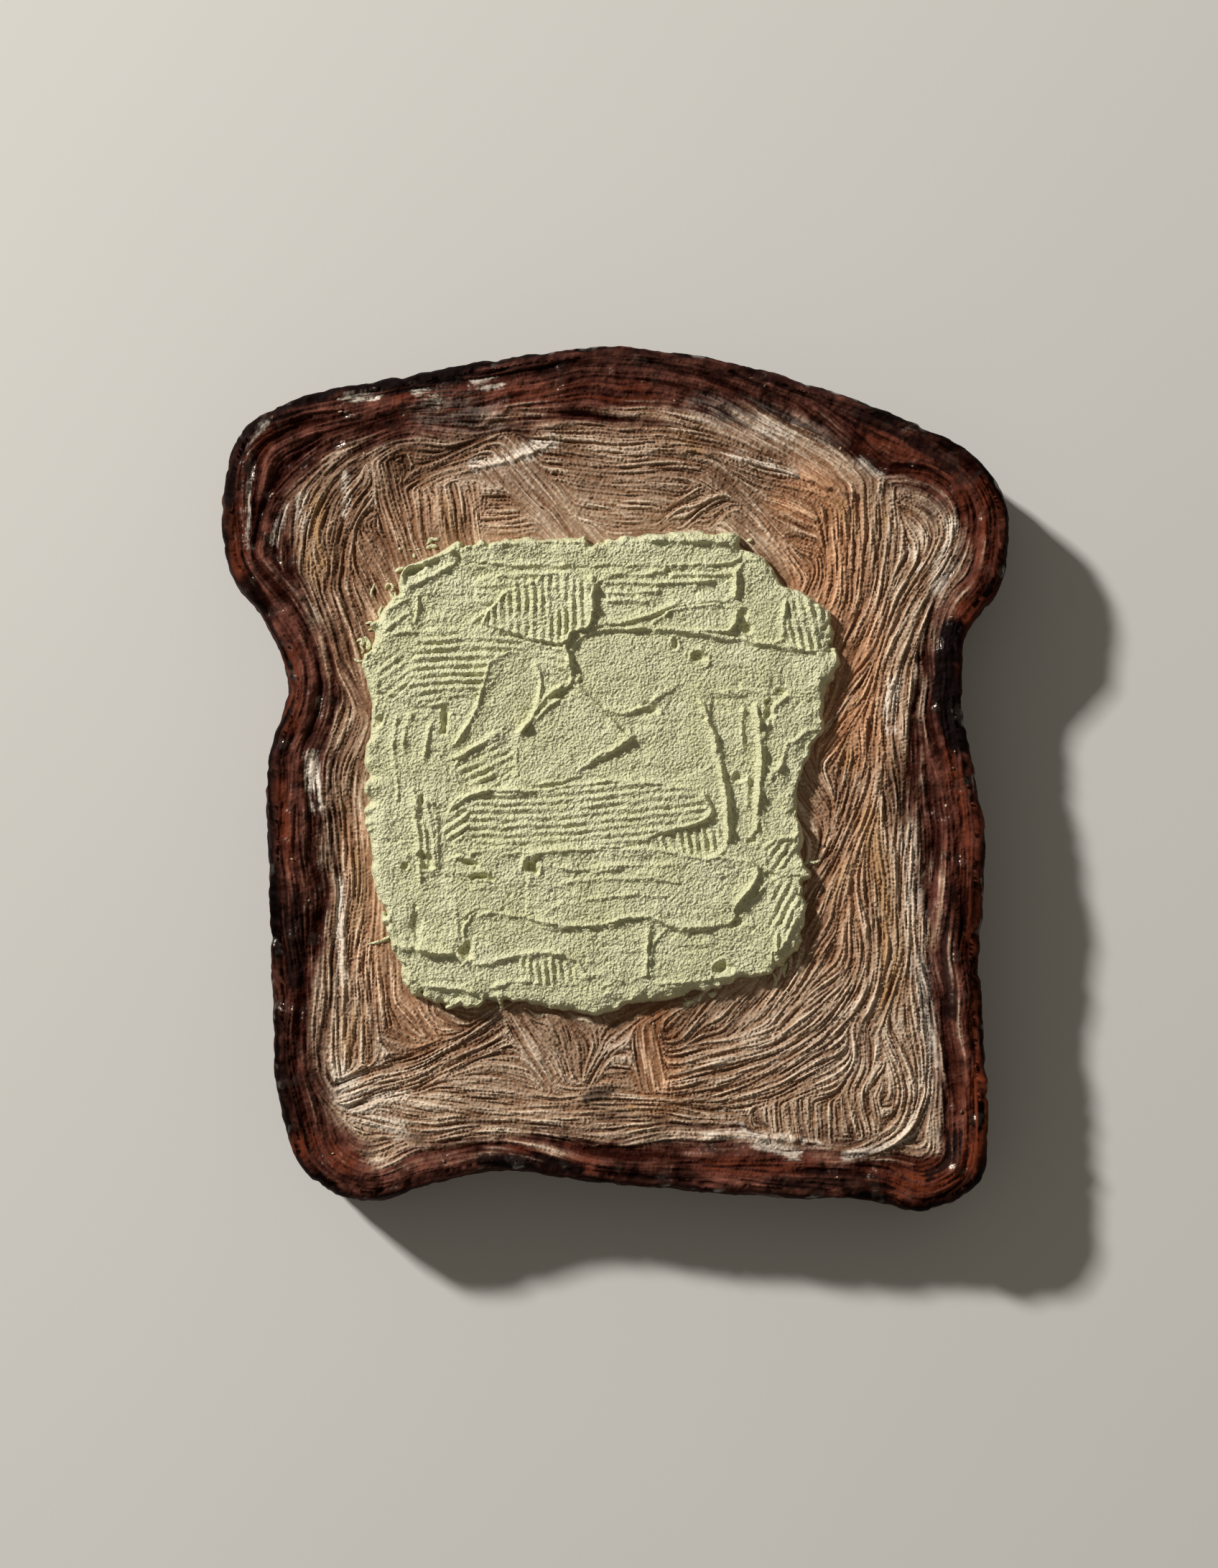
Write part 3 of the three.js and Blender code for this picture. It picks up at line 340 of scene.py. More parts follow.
# Ridges pushed up by the knife: height, widths to the left and right of the line, and the line.
RIDGES = [
    (0.5, 0.3, 0.3, [(-22.4, 32.6), (-18, 32.9), (-10, 33.3), (0, 32.9), (6, 33.8), (10, 33.3), (16, 33)]),
    (0.35, 0.2, 0.2, [(4, 33.2), (9, 33.1), (15.5, 32.6)]),
    (0.4, 0.2, 0.25, [(8, 34.1), (13, 33.9), (17, 34.3)]),
    (0.8, 0.35, 0.25, [(-30.3, 27), (-30.5, 28.6), (-29.7, 29.9), (-27.6, 30.2), (-25.4, 31.4),
        (-22.7, 32.1)]),
    (0.25, 0.5, 0.15, [(-30.4, 26.6), (-26.5, 28.2), (-22.2, 30.6)]),
    (0.18, 0.6, 0.3, [(-6.9, 20.2), (-4, 21.3), (-1, 21.6), (2, 21.9), (5, 23.1), (8.5, 24.6), (16.3, 24.6)]),
    (0.55, 0.25, 0.45, [(-6.4, 20.4), (-7.3, 19.4), (-7.8, 18), (-7.2, 16.7), (-6.8, 14.8), (-6.9, 13.1),
        (-8, 12.5), (-9.9, 11.9)]),
    (0.35, 0.18, 0.5, [(-3.75, 28.6), (-3.75, 21.6)]), (0.45, 0.25, 0.35, [(16.5, 29.2), (16.4, 24.8)]),
    (0.28, 0.35, 0.25, [(-7.5, 17.2), (-5.6, 19.9), (-2, 20.8), (3, 20.8), (9.5, 20.2), (17, 18.9)]),
    (0.12, 0.3, 0.2, [(17, 18.9), (24, 17.9), (28.5, 17.4)]),
    (0.35, 0.2, 0.35, [(-22, -19.6), (-18, -18.5), (-14, -19.4), (-8, -20.9), (-3, -20.8), (0, -19.6),
        (4, -19.6), (7, -21.2), (14, -20.9)]),
    (0.4, 0.2, 0.3, [(-21.5, -25.8), (-19, -25.6), (-15, -24.6), (-11, -24.2), (-8, -24.6)]),
    (0.35, 0.3, 0.3, [(-29.8, -0.8), (-28.9, -4), (-28.3, -9), (-28.4, -15)]),
    (0.32, 0.3, 0.3, [(-28.3, -1.5), (-27, -4), (-26.4, -8), (-26.2, -13)]),
    (0.3, 0.2, 0.25, [(-27.7, -5.5), (-27.4, -9), (-27.4, -12.5)]),
    (0.3, 0.2, 0.2, [(-2.5, 28.6), (2, 28.2), (5, 28.4)]),
    (0.35, 0.2, 0.25, [(-2.8, 27.3), (1, 27.4), (4, 27), (8, 27.3), (14, 27.4)]),
    (0.3, 0.2, 0.2, [(-2, 26), (2, 25.8), (6, 26.1)]), (0.3, 0.2, 0.2, [(4, 28.9), (10, 28.2), (16, 28.3)]),
    (0.25, 0.2, 0.2, [(-2, 24.6), (1.5, 24.9), (4, 24.4)]),
    (0.22, 0.15, 0.2, [(-10, -12.4), (-6, -13), (-1, -12.2), (4, -12.6), (9, -12)]),
    (0.22, 0.15, 0.2, [(-9, -14.8), (-4, -14.1), (2, -14.3), (6, -13.8)]),
    (0.2, 0.15, 0.2, [(-6, -17.2), (0, -16.4), (6, -16.8)]),
    (0.35, 0.25, 0.2, [(-14.8, 5.2), (-12, 9.4), (-9.5, 12.3), (-7.2, 13.4), (-5.4, 12.2), (-2.8, 9.8),
        (-1, 7.4), (0.6, 6.6)]),
    (0.3, 0.25, 0.2, [(-2.4, 10), (0.2, 8.6), (2.4, 9.7), (4.6, 9.8)]),
    (0.3, 0.3, 0.2, [(20, 5), (21.2, 9.5), (23.6, 11.2)]),
    (0.3, 0.25, 0.25, [(20.5, -0.5), (22.5, 1.5), (23.5, 5)]),
    (0.25, 0.2, 0.2, [(24, 4.5), (26.5, 6.5), (28, 6.2)]),
    (0.35, 0.5, 0.3, [(15.3, 20.2), (16.3, 21.4), (16.2, 22.9)]),
    (0.38, 0.2, 0.35, [(-12.4, 16.9), (-11.3, 14.5), (-11.1, 12.3), (-12.2, 8.8), (-13.8, 6.6), (-15, 6.1)]),
    (0.3, 0.2, 0.2, [(-19.2, 13.5), (-19.8, 10.8), (-21.3, 7.5), (-23.6, 4.4)]),
    (0.35, 0.3, 0.2, [(-24.4, 2.7), (-22.6, 3.2), (-20.5, 4.5), (-16.5, 6.5)]),
    (0.2, 0.4, 0.12, [(-5.5, 1.4), (0, 4.2), (2, 6.1)]),
    (0.6, 0.45, 0.3, [(10.9, 11), (11.5, 9.5), (12.7, 6.5), (13.5, 2.5), (14.2, -0.5), (14.8, -4),
        (14.5, -10.2)]),
    (0.6, 0.22, 0.35, [(18.9, 10.6), (19.3, 7), (19.6, 0), (18.9, -4), (18.6, -8.4)]),
    (0.4, 0.2, 0.3, [(17.2, 9.8), (16.9, 6.5), (17.1, 3.2)]), (0.4, 0.2, 0.4, [(17.7, 0.2), (17.5, -4.5)]),
    (0.45, 0.3, 0.3, [(20.6, -0.8), (22.8, 1.8)]),
    (0.35, 0.2, 0.25, [(-31.2, 9.5), (-31.9, 5), (-31.5, 1), (-31.3, -3.2)]),
    (0.3, 0.25, 0.4, [(-29, 9.5), (-30.4, 6.5), (-30.2, 3.5)]),
    (0.3, 0.2, 0.3, [(-26.3, 8.3), (-27.5, 4.5), (-27.8, 2)]),
    (0.4, 0.2, 0.35, [(-29.2, -0.9), (-28.6, -3), (-28.4, -5.4)]),
    (0.28, 0.3, 0.45, [(-26.8, -2.4), (-25.7, -6), (-25.8, -12.4)]),
    (0.35, 0.2, 0.4, [(-34.6, 9), (-35.4, 3), (-35.6, -5.5)]),
    (0.35, 0.2, 0.4, [(-34.2, -13.5), (-33.9, -17), (-32.6, -20)]),
    (0.75, 0.3, 0.3, [(-32.6, -22.9), (-29, -23.4), (-27, -24), (-23.5, -24.4)]),
    (0.16, 0.3, 0.4, [(3.4, -21), (3.2, -24.5), (2.9, -28.4)]),
    (0.25, 0.3, 0.5, [(-14.2, -13.2), (-13.9, -11), (-12, -10.4), (-8, -9.9), (4, -9.9)]),
    (0.25, 0.3, 0.4, [(17, -11.8), (19.1, -13.2), (17.8, -15.5), (15.3, -18.6)]),
    (0.4, 0.3, 0.3, [(-24.2, -4.3), (-21.5, -2.2), (-18, -1.5), (-12, -1.9)]),
    (0.3, 0.15, 0.6, [(11.1, -2.1), (12.6, -4.4), (11.5, -6.1), (8, -7.5)]),
    (0.45, 0.3, 0.25, [(-28.5, -28.7), (-23, -29.3), (-20.4, -29.8)]),
    (0.35, 0.3, 0.25, [(-18.8, -29.1), (-16, -28.4), (-13, -28.3)]),
    (0.3, 0.25, 0.2, [(-6, -27.5), (-2, -27.8), (0, -28.6)]),
    (0.3, 0.3, 0.25, [(4, -28.8), (9, -28.9), (11, -28.3), (20.5, -27.6)]),
    (0.2, 0.12, 0.15, [(-4.5, -13.4), (0, -12.6)]), (0.2, 0.12, 0.15, [(1.8, -13.5), (4.2, -13.6)]),
    (0.2, 0.12, 0.15, [(4.3, -14.3), (8.2, -14.9)]), (0.18, 0.12, 0.15, [(-11, -19), (-8, -17)]),
    (0.4, 0.3, 0.2, [(23.5, 25), (23, 22), (22.7, 18.4)]),
    (0.2, 0.15, 0.5, [(26, 17.3), (22.7, 18.3), (18.7, 18.5)]),
    (0.35, 0.2, 0.25, [(21.7, -20), (21.2, -22.5), (21.4, -25)]),
    (0.3, 0.2, 0.25, [(23.5, -18.6), (22.4, -21), (22.1, -24.4)]),
    (0.3, 0.2, 0.2, [(24.6, -18.4), (23.4, -21), (22.7, -23.6)]),
    (0.3, 0.2, 0.2, [(24.9, -21), (24, -23.4), (22.8, -25.4)]),
    (0.35, 0.3, 0.2, [(-28.3, 26), (-28.1, 23.8), (-28.6, 21.6)]),
    (0.2, 0.5, 0.2, [(-33.4, 19.2), (-31.2, 20.8), (-28.2, 20.6)]),
    (0.3, 0.25, 0.2, [(-33.2, 20.6), (-31, 22.4), (-28.9, 23.6)]),
    (0.25, 0.2, 0.2, [(-32.9, 23.4), (-31, 24.6), (-29.4, 25.4)]),
    (0.35, 0.25, 0.5, [(28.3, 11.5), (28.2, 7)]), (0.45, 0.3, 0.5, [(24.4, -6), (24.8, -9), (24.5, -11)]),
]

# Serrated strokes: tooth pitch, groove depth, direction in degrees, bend, fade, a middle point, and outline.
COMBS = [
    (1.17, 0.55, 0, -0.01, 0.5, (-22, 15), [(-29.6, 10.5), (-29.4, 19.4), (-25, 20.2), (-15, 20.4),
        (-7, 18.6), (-7.8, 12.6), (-10.5, 12.4), (-11, 16), (-12.3, 17.4), (-14.3, 18.2), (-18.2, 17.6),
        (-19, 14), (-19.6, 12), (-22, 12.3), (-24.5, 10.2)]),
    (1.17, 0.36, 38, 0, 0.4, (-30, 15), [(-34.5, 12), (-33.6, 17), (-29.7, 19.2), (-29.7, 11)]),
    (1.13, 0.5, 91, 0, 0.35, (-10, 24), [(-18.8, 22.3), (-15.8, 26.4), (-15, 28.3), (-3.6, 28.5),
        (-3.6, 21.4), (-6.5, 20.2), (-8.6, 18), (-12.5, 18.4), (-15, 20.4), (-18, 21)]),
    (1.2, 0.45, 3, 0, 0.35, (-16, 26), [(-19.8, 24.6), (-19.8, 28.2), (-11.5, 28.6), (-12, 26.9),
        (-15.8, 26.4), (-17.4, 24.8)]),
    (1.2, 0.7, 100, 0, 0.4, (26, 21), [(23.4, 26), (29.2, 24.6), (30, 20), (28.7, 17.6), (26, 17.4),
        (23.4, 18.3)]),
    (1.2, 0.55, 24, 0, 0.4, (-18, 2), [(-22.5, -1), (-22.5, 2.4), (-20.5, 3.8), (-16.5, 5.8), (-15.2, 5),
        (-15, -1)]),
    (1.1, 0.38, 4, 0.002, 0.5, (-5, -5), [(-21.5, -10), (-21.8, -2.6), (-18, -1.8), (-12, -2), (-6, -0.6),
        (0, -0.4), (6, -0.9), (10.5, -2), (12, -4.4), (11, -6.2), (8, -7.4), (4.5, -7.8), (2.5, -9.4),
        (-6, -9.8), (-13, -10)]),
    (1.15, 0.6, 30, 0, 0.3, (-23, -6), [(-25, -9.6), (-25, -4.8), (-21.6, -2.8), (-21.4, -8)]),
    (1.12, 0.55, 102, 0, 0.4, (9, -9), [(4.3, -9.6), (5.5, -7.9), (8, -7.7), (11.5, -6.5), (13.8, -7),
        (13.9, -10.3), (12, -11), (8, -10.6)]),
    (1.05, 0.5, 94, 0, 0.5, (-11, -27), [(-15.6, -28.2), (-15.4, -25.2), (-11, -24.9), (-7.5, -25.6),
        (-6, -28.2), (-10, -28.9)]),
    (1.1, 0.5, 57, 0, 0.4, (22, -11), [(20, -9.4), (24.4, -9.4), (24.2, -12.2), (22, -13.4), (20.2, -12.6)]),
    (1.15, 0.42, 62, 0, 0.5, (23, -20), [(21, -15), (24.6, -14.5), (26, -19), (24.8, -24), (22.3, -25.8),
        (21.2, -24), (19.5, -20)]),
]

# Pits torn in the butter: x, y, long and short radius, direction in degrees, depth, and height of the rim.
PITS = [
    (-28.5, 29.4, 1.7, 0.7, 27, 1.2, 0), (-21.5, -11.7, 1.3, 0.55, -12, 1.1, 0.2),
    (-19.9, -13.7, 1.4, 0.5, -8, 0.9, 0.2), (-12.9, -12.3, 1.1, 1, 0, 1.5, 0.35),
    (-30.5, -12, 0.5, 0.6, 0, 0.8, 0.1), (-27.3, -11.2, 0.9, 1.3, 60, 0.9, 0.1),
    (-27.9, -2.7, 0.5, 0.8, 0, 0.8, 0), (-24.6, 8.3, 0.6, 1.5, 0, 1, 0.1),
    (7.8, 18.5, 0.55, 0.8, 0, 0.6, 0.2), (10.8, 16.7, 1, 0.75, 0, 0.9, 0.3),
    (17.4, 22.8, 0.9, 0.8, 0, 0.5, 0), (17.7, 20.7, 0.8, 0.7, 0, 0.7, 0.1), (20.9, 9.4, 0.7, 2, -12, 0.9, 0),
    (22.4, 11.5, 1.3, 0.5, 15, 0.8, 0), (-22, -23.8, 0.75, 1.2, -15, 1.1, 0.2),
    (13.6, -26.8, 1, 1, 0, 1.1, 0.2), (11.8, 8.2, 0.5, 0.3, 0, 0.5, 0), (4.4, 9.6, 0.9, 0.8, 20, 0.7, 0),
    (-9, 11.6, 1.2, 0.6, 25, 0.6, 0), (-33.9, 8.2, 0.6, 1, -30, 0.8, 0.1),
    (16.2, -0.2, 0.8, 0.9, 0, 0.6, 0.2), (6.9, 28.6, 0.4, 0.5, 0, 0.6, 0.1),
    (1.7, 25.9, 0.9, 0.5, -20, 0.6, 0), (-9.4, 20.6, 0.4, 0.3, 0, 0.3, 0), (17.9, -9.2, 0.9, 0.5, 0, 0.5, 0),
    (20.6, -14, 1.2, 0.6, -10, 0.7, 0), (15.9, -20.6, 1, 0.6, 25, 0.5, 0),
    (-28.8, -20.6, 0.8, 2.6, 0, 0.5, 0),
]

# Loose dabs of butter on the crumb: width, height, and the line that each follows.
SCRAPS = [
    (0.4, 0.6, [(-32.8, 26.9), (-32.6, 27.6), (-32, 27.7), (-31.7, 27.2), (-31.9, 26.7)]),
    (0.35, 0.5, [(-32.2, 26.6), (-31.6, 25.4), (-31, 25.6), (-30.4, 25.6), (-30.6, 26.2)]),
    (0.3, 0.4, [(-31.4, 26.6), (-31.5, 26), (-31.2, 25.4)]),
    (0.35, 0.4, [(-34.2, 27.8), (-34.6, 27.1), (-34.9, 26.4), (-34.6, 25.8)]),
    (0.35, 0.4, [(-33.3, 24.6), (-33.8, 23.6), (-33.5, 22.9)]),
    (0.4, 0.6, [(-35.6, 22.1), (-34.9, 22.4), (-34.4, 21.9), (-34.7, 21.3), (-35.3, 21.2)]),
    (0.8, 0.3, [(-35.8, 20.3), (-35.1, 19.2), (-35.4, 18.4)]),
    (0.5, 0.5, [(-37, 19.6), (-36.3, 20), (-35.9, 19.6), (-36.4, 18.9), (-35.9, 18.4), (-36.2, 17.9)]),
    (0.35, 0.3, [(-37.4, 17.3), (-36.6, 16.7), (-36, 17)]),
    (0.6, 0.5, [(-26.9, 33.2), (-26.3, 34.1), (-25.8, 33.8), (-25.2, 34)]),
    (0.5, 0.4, [(-27, 32.6), (-26.4, 33), (-25.4, 32.9)]), (0.3, 0.3, [(-30.9, 32.7), (-30.4, 32.5)]),
    (0.35, 0.35, [(-28.8, 32), (-28.7, 31.3)]), (0.2, 0.25, [(-29.6, 32.4), (-29.1, 32.5)]),
    (0.25, 0.25, [(-28.4, 32.5), (-27.8, 32.6)]), (0.5, 0.5, [(-31.4, 29.3), (-30.8, 29.8), (-30, 29.9)]),
    (0.4, 0.45, [(25.2, -12.8), (26, -12), (26.8, -12.4), (27.8, -11.9)]),
    (0.25, 0.3, [(25.2, -18.8), (26, -17.9)]), (0.25, 0.3, [(24.6, -25.2), (25.1, -25)]),
    (0.2, 0.25, [(25.8, -25.1), (26.6, -24.8)]), (0.5, 0.3, [(20.9, -27.7), (21.4, -28.7), (21.2, -29.6)]),
    (0.15, 0.2, [(22.6, -30), (23.3, -31)]), (0.6, 0.3, [(22.9, -26.3), (22.3, -27.2), (22.5, -28.3)]),
    (0.7, 0.4, [(11, -29.4), (12.5, -29.2), (13.6, -29.6)]), (0.8, 0.3, [(11.8, -30.6), (13, -30.4)]),
    (0.4, 0.4, [(-35.7, -22.8), (-33.5, -22.4)]), (0.45, 0.4, [(-34.1, -22.6), (-32.7, -21.8)]),
    (0.7, 0.4, [(8.2, -31.8), (9.8, -31.4)]), (0.6, 0.4, [(10.4, -31.5), (10.8, -30.5)]),
    (0.5, 0.4, [(18.2, 33.2), (19, 33.3)]), (0.6, 0.5, [(-17.2, -32.1), (-17.2, -31.1)]),
]


# ---- Fields and lines ----

def smoothstep(low, high, value):
    """Rises smoothly from 0 at `low` to 1 at `high`."""
    t = np.clip((value - low) / (high - low), 0.0, 1.0)
    return t * t * (3.0 - 2.0 * t)


NOISE_SIDE = 512
noise_tables = {}


def lumps(x, y, size, seed):
    """Smooth unevenness from -1 to 1, with bumps about `size` apart."""
    if seed not in noise_tables:
        noise_tables[seed] = np.random.RandomState(seed).uniform(-1, 1, (NOISE_SIDE, NOISE_SIDE))
    table = noise_tables[seed]
    u, v = x / size + 1000.37, y / size + 1000.61
    column, row = np.floor(u).astype(int), np.floor(v).astype(int)
    u, v = smoothstep(0, 1, u - column), smoothstep(0, 1, v - row)
    left, right = column % NOISE_SIDE, (column + 1) % NOISE_SIDE
    low, high = row % NOISE_SIDE, (row + 1) % NOISE_SIDE
    bottom = table[left, low] * (1 - u) + table[right, low] * u
    top = table[left, high] * (1 - u) + table[right, high] * u
    return bottom * (1 - v) + top * v


def grit(x, y, size, seed):
    """Sandy unevenness with no direction of its own, made of three layers turned against each other."""
    total = np.zeros(x.shape)
    for k, turn in enumerate((0.35, 1.45, 2.60)):
        cosine, sine = math.cos(turn), math.sin(turn)
        total += lumps(x * cosine - y * sine, x * sine + y * cosine, size, seed + k)
    return total / math.sqrt(3)


def rounded(points, rounds=1, closed=True):
    """The same line with its corners cut."""
    line = np.array(points, float)
    for _ in range(rounds):
        if not closed and len(line) < 3:
            return line
        ahead = np.roll(line, -1, axis=0) if closed else line[1:]
        behind = line if closed else line[:-1]
        cut = np.stack([0.75 * behind + 0.25 * ahead, 0.25 * behind + 0.75 * ahead], axis=1).reshape(-1, 2)
        line = cut if closed else np.vstack([line[:1], cut[1:-1], line[-1:]])
    return line


def inside_distance(outline, x, y):
    """Distance to a closed outline: positive inside, negative outside."""
    best = np.full(x.shape, 1e9)
    inside = np.zeros(x.shape, bool)
    for (ax, ay), (bx, by) in zip(outline, np.roll(outline, -1, axis=0)):
        ex, ey = bx - ax, by - ay
        t = np.clip(((x - ax) * ex + (y - ay) * ey) / (ex * ex + ey * ey), 0, 1)
        best = np.minimum(best, (x - ax - t * ex) ** 2 + (y - ay - t * ey) ** 2)
        if ay != by:
            inside ^= ((ay > y) != (by > y)) & (x < ex * (y - ay) / ey + ax)
    return np.where(inside, 1, -1) * np.sqrt(best)


def along(line, x, y):
    """Where places lie by a line: signed distance (left positive), the line's heading there, length along it,
    how far past its ends, and its whole length."""
    steps = np.diff(line, axis=0)
    lengths = np.hypot(steps[:, 0], steps[:, 1])
    starts = np.concatenate([[0], np.cumsum(lengths)])
    best = np.full(x.shape, 1e9)
    side, heading, run, past = (np.zeros(x.shape) for _ in range(4))
    for i, ((ax, ay), (ex, ey)) in enumerate(zip(line[:-1], steps)):
        share = ((x - ax) * ex + (y - ay) * ey) / lengths[i] ** 2
        t = np.clip(share, 0, 1)
        dx, dy = x - ax - t * ex, y - ay - t * ey
        squared = dx * dx + dy * dy
        near = squared < best
        best = np.where(near, squared, best)
        over = np.maximum(share - 1 if i == len(steps) - 1 else -1, -share if i == 0 else -1)
        side = np.where(near, np.where(ex * (y - ay) < ey * (x - ax), -1, 1), side)
        heading = np.where(near, math.atan2(ey, ex), heading)
        run = np.where(near, starts[i] + t * lengths[i], run)
        past = np.where(near, over * lengths[i], past)
    return side * np.sqrt(best), heading, run, past, starts[-1]


def drawn_line(points):
    """An open line through these points, with soft corners."""
    return rounded(points, 2, closed=False)


def near_box(points, reach, x, y):
    """Indices of the places in the box round the points."""
    low, high = np.min(points, axis=0) - reach, np.max(points, axis=0) + reach
    return np.nonzero((x > low[0]) & (x < high[0]) & (y > low[1]) & (y < high[1]))


def turned_frame(x, y, middle, degrees):
    """The places along and across a direction, measured from a middle point."""
    cosine, sine = math.cos(math.radians(degrees)), math.sin(math.radians(degrees))
    x, y = x - middle[0], y - middle[1]
    return x * cosine + y * sine, y * cosine - x * sine


# ---- Outline of the slice ----

def slice_curve(per_knot=40):
    """Centripetal curve through the knots, as dense points of x, y and crust width."""
    knots = np.array(SLICE_KNOTS, float)
    share = np.arange(per_knot)[:, None] / per_knot
    pieces = []
    for i in range(len(knots)):
        p0, p1, p2, p3 = (knots[(i + k) % len(knots)] for k in (-1, 0, 1, 2))
        d0, d1, d2 = (math.dist(a[:2], b[:2]) ** 0.5 for a, b in ((p0, p1), (p1, p2), (p2, p3)))
        t1 = ((p1 - p0) / d0 - (p2 - p0) / (d0 + d1) + (p2 - p1) / d1) * d1
        t2 = ((p2 - p1) / d1 - (p3 - p1) / (d1 + d2) + (p3 - p2) / d2) * d1
        squared, cubed = 3 * (p2 - p1) - 2 * t1 - t2, 2 * (p1 - p2) + t1 + t2
        pieces.append(p1 + t1 * share + squared * share**2 + cubed * share**3)
    return np.vstack(pieces)


def spaced(curve, count):
    """Evenly spaced places on a closed curve, and the length round it."""
    closed = np.vstack([curve, curve[:1]])
    lengths = np.concatenate([[0], np.cumsum(np.hypot(*np.diff(closed[:, :2], axis=0).T))])
    places = np.arange(count) * lengths[-1] / count
    return np.stack([np.interp(places, lengths, column) for column in closed.T], axis=1), lengths[-1]


def smoothed_round(values, spread):
    """Values round a closed line, averaged with their neighbours."""
    reach = 3 * spread
    weights = np.exp(-0.5 * (np.arange(-reach, reach + 1) / spread) ** 2)
    weights /= weights.sum()
    return sum(w * np.roll(values, k, axis=0) for w, k in zip(weights, range(-reach, reach + 1)))


outline_fine, outline_length = spaced(slice_curve(), COLUMNS)
outline_coarse = outline_fine[::COARSE_STRIDE]
ahead, behind = np.roll(outline_fine[:, :2], -1, axis=0), np.roll(outline_fine[:, :2], 1, axis=0)
tangents = (ahead - behind) / np.hypot(*(ahead - behind).T)[:, None]
outwards = smoothed_round(np.stack([tangents[:, 1], -tangents[:, 0]], axis=1), OUTWARDS_BLUR)
outwards /= np.hypot(*outwards.T)[:, None]
SHIFT = (outline_fine[:, :2].min(axis=0) + outline_fine[:, :2].max(axis=0)) / 2
seam_line = outline_fine[:, :2] - (SEAM + SIDE_BULGE) * outwards
butter_line = rounded(BUTTER_OUTLINE)


def edge_field(x, y):
    """Distance in from the outline, length round it, and the crust's width there."""
    best = np.full(x.shape, 1e9)
    run, width = np.zeros(x.shape), np.zeros(x.shape)
    step = outline_length / len(outline_coarse)
    for i, (start, end) in enumerate(zip(outline_coarse, np.roll(outline_coarse, -1, axis=0))):
        (ex, ey), (px, py) = end[:2] - start[:2], (x - start[0], y - start[1])
        t = np.clip((px * ex + py * ey) / (ex * ex + ey * ey), 0, 1)
        squared = (px - t * ex) ** 2 + (py - t * ey) ** 2
        near = squared < best
        best = np.where(near, squared, best)
        run = np.where(near, (i + t) * step, run)
        width = np.where(near, start[2] + t * (end[2] - start[2]), width)
    return np.sqrt(best), run, width


# ---- The toasted face ----

def blurred(grid, rounds):
    """The grid, averaged with its neighbours this many times."""
    for _ in range(rounds):
        for axis in (0, 1):
            grid = (np.roll(grid, 1, axis) + 2 * grid + np.roll(grid, -1, axis)) / 4
    return grid


def lie_grid():
    """Which way the crumb lies, on a grid: along the crust, and along each drawn line."""
    x, y = FIELD
    inset = edge_field(x, y)[0]
    slope_y, slope_x = np.gradient(blurred(inset, INSET_BLUR))
    heading = np.arctan2(slope_x, -slope_y)
    rough = np.ones(x.shape)
    for half_width, roughness, points in GRAIN:
        line = drawn_line(points)
        pick = near_box(line, half_width + 1, x, y)
        px, py = x[pick], y[pick]
        distance, angle, _, past, _ = along(line, px, py)
        room = half_width * (1 + 0.3 * lumps(px, py, 2.2, 72)) - np.abs(distance)
        room = np.minimum(room, 0.9 + 1.5 * lumps(px, py, 0.9, 73) - past)
        heading[pick] = np.where(room > 0, angle, heading[pick])
        rough[pick] = np.where(room > 0, roughness, rough[pick])
    heading += 0.18 * lumps(x, y, 5, 74)
    cosine, sine = blurred(np.cos(2 * heading), LIE_BLUR), blurred(np.sin(2 * heading), LIE_BLUR)
    half = 0.5 * np.arctan2(sine, cosine)
    return np.cos(half), np.sin(half), blurred(rough, LIE_BLUR)


def on_grid(grid, x, y):
    """Values of a grid at these places, read between its points."""
    u = np.clip((x - FIELD_X[0]) / FIELD_STEP, 0, len(FIELD_X) - 1.001)
    v = np.clip((y - FIELD_Y[0]) / FIELD_STEP, 0, len(FIELD_Y) - 1.001)
    column, row = u.astype(int), v.astype(int)
    u, v = u - column, v - row
    low = grid[row, column] * (1 - u) + grid[row, column + 1] * u
    high = grid[row + 1, column] * (1 - u) + grid[row + 1, column + 1] * u
    return low * (1 - v) + high * v


def combed(x, y, size, seed, gain, step, count):
    """Unevenness drawn out along the lie of the crumb: lumps gathered at steps both ways from each place."""
    cosine, sine, _ = LIE
    total = np.zeros(x.shape)
    for sense in (1, -1):
        px, py = x.copy(), y.copy()
        last_x, last_y = None, None
        for k in range(count):
            column = np.clip(((px - FIELD_X[0]) / FIELD_STEP + 0.5).astype(int), 0, len(FIELD_X) - 1)
            row = np.clip(((py - FIELD_Y[0]) / FIELD_STEP + 0.5).astype(int), 0, len(FIELD_Y) - 1)
            dx, dy = cosine[row, column], sine[row, column]
            turned = sense if last_x is None else np.where(dx * last_x + dy * last_y < 0, -1, 1)
            last_x, last_y = dx * turned, dy * turned
            px, py = px + step * last_x, py + step * last_y
            weight = 0.5 + 0.5 * math.cos(math.pi * (k + 0.5) / count)
            total += gain * weight * lumps(px, py, size, seed)
    return total


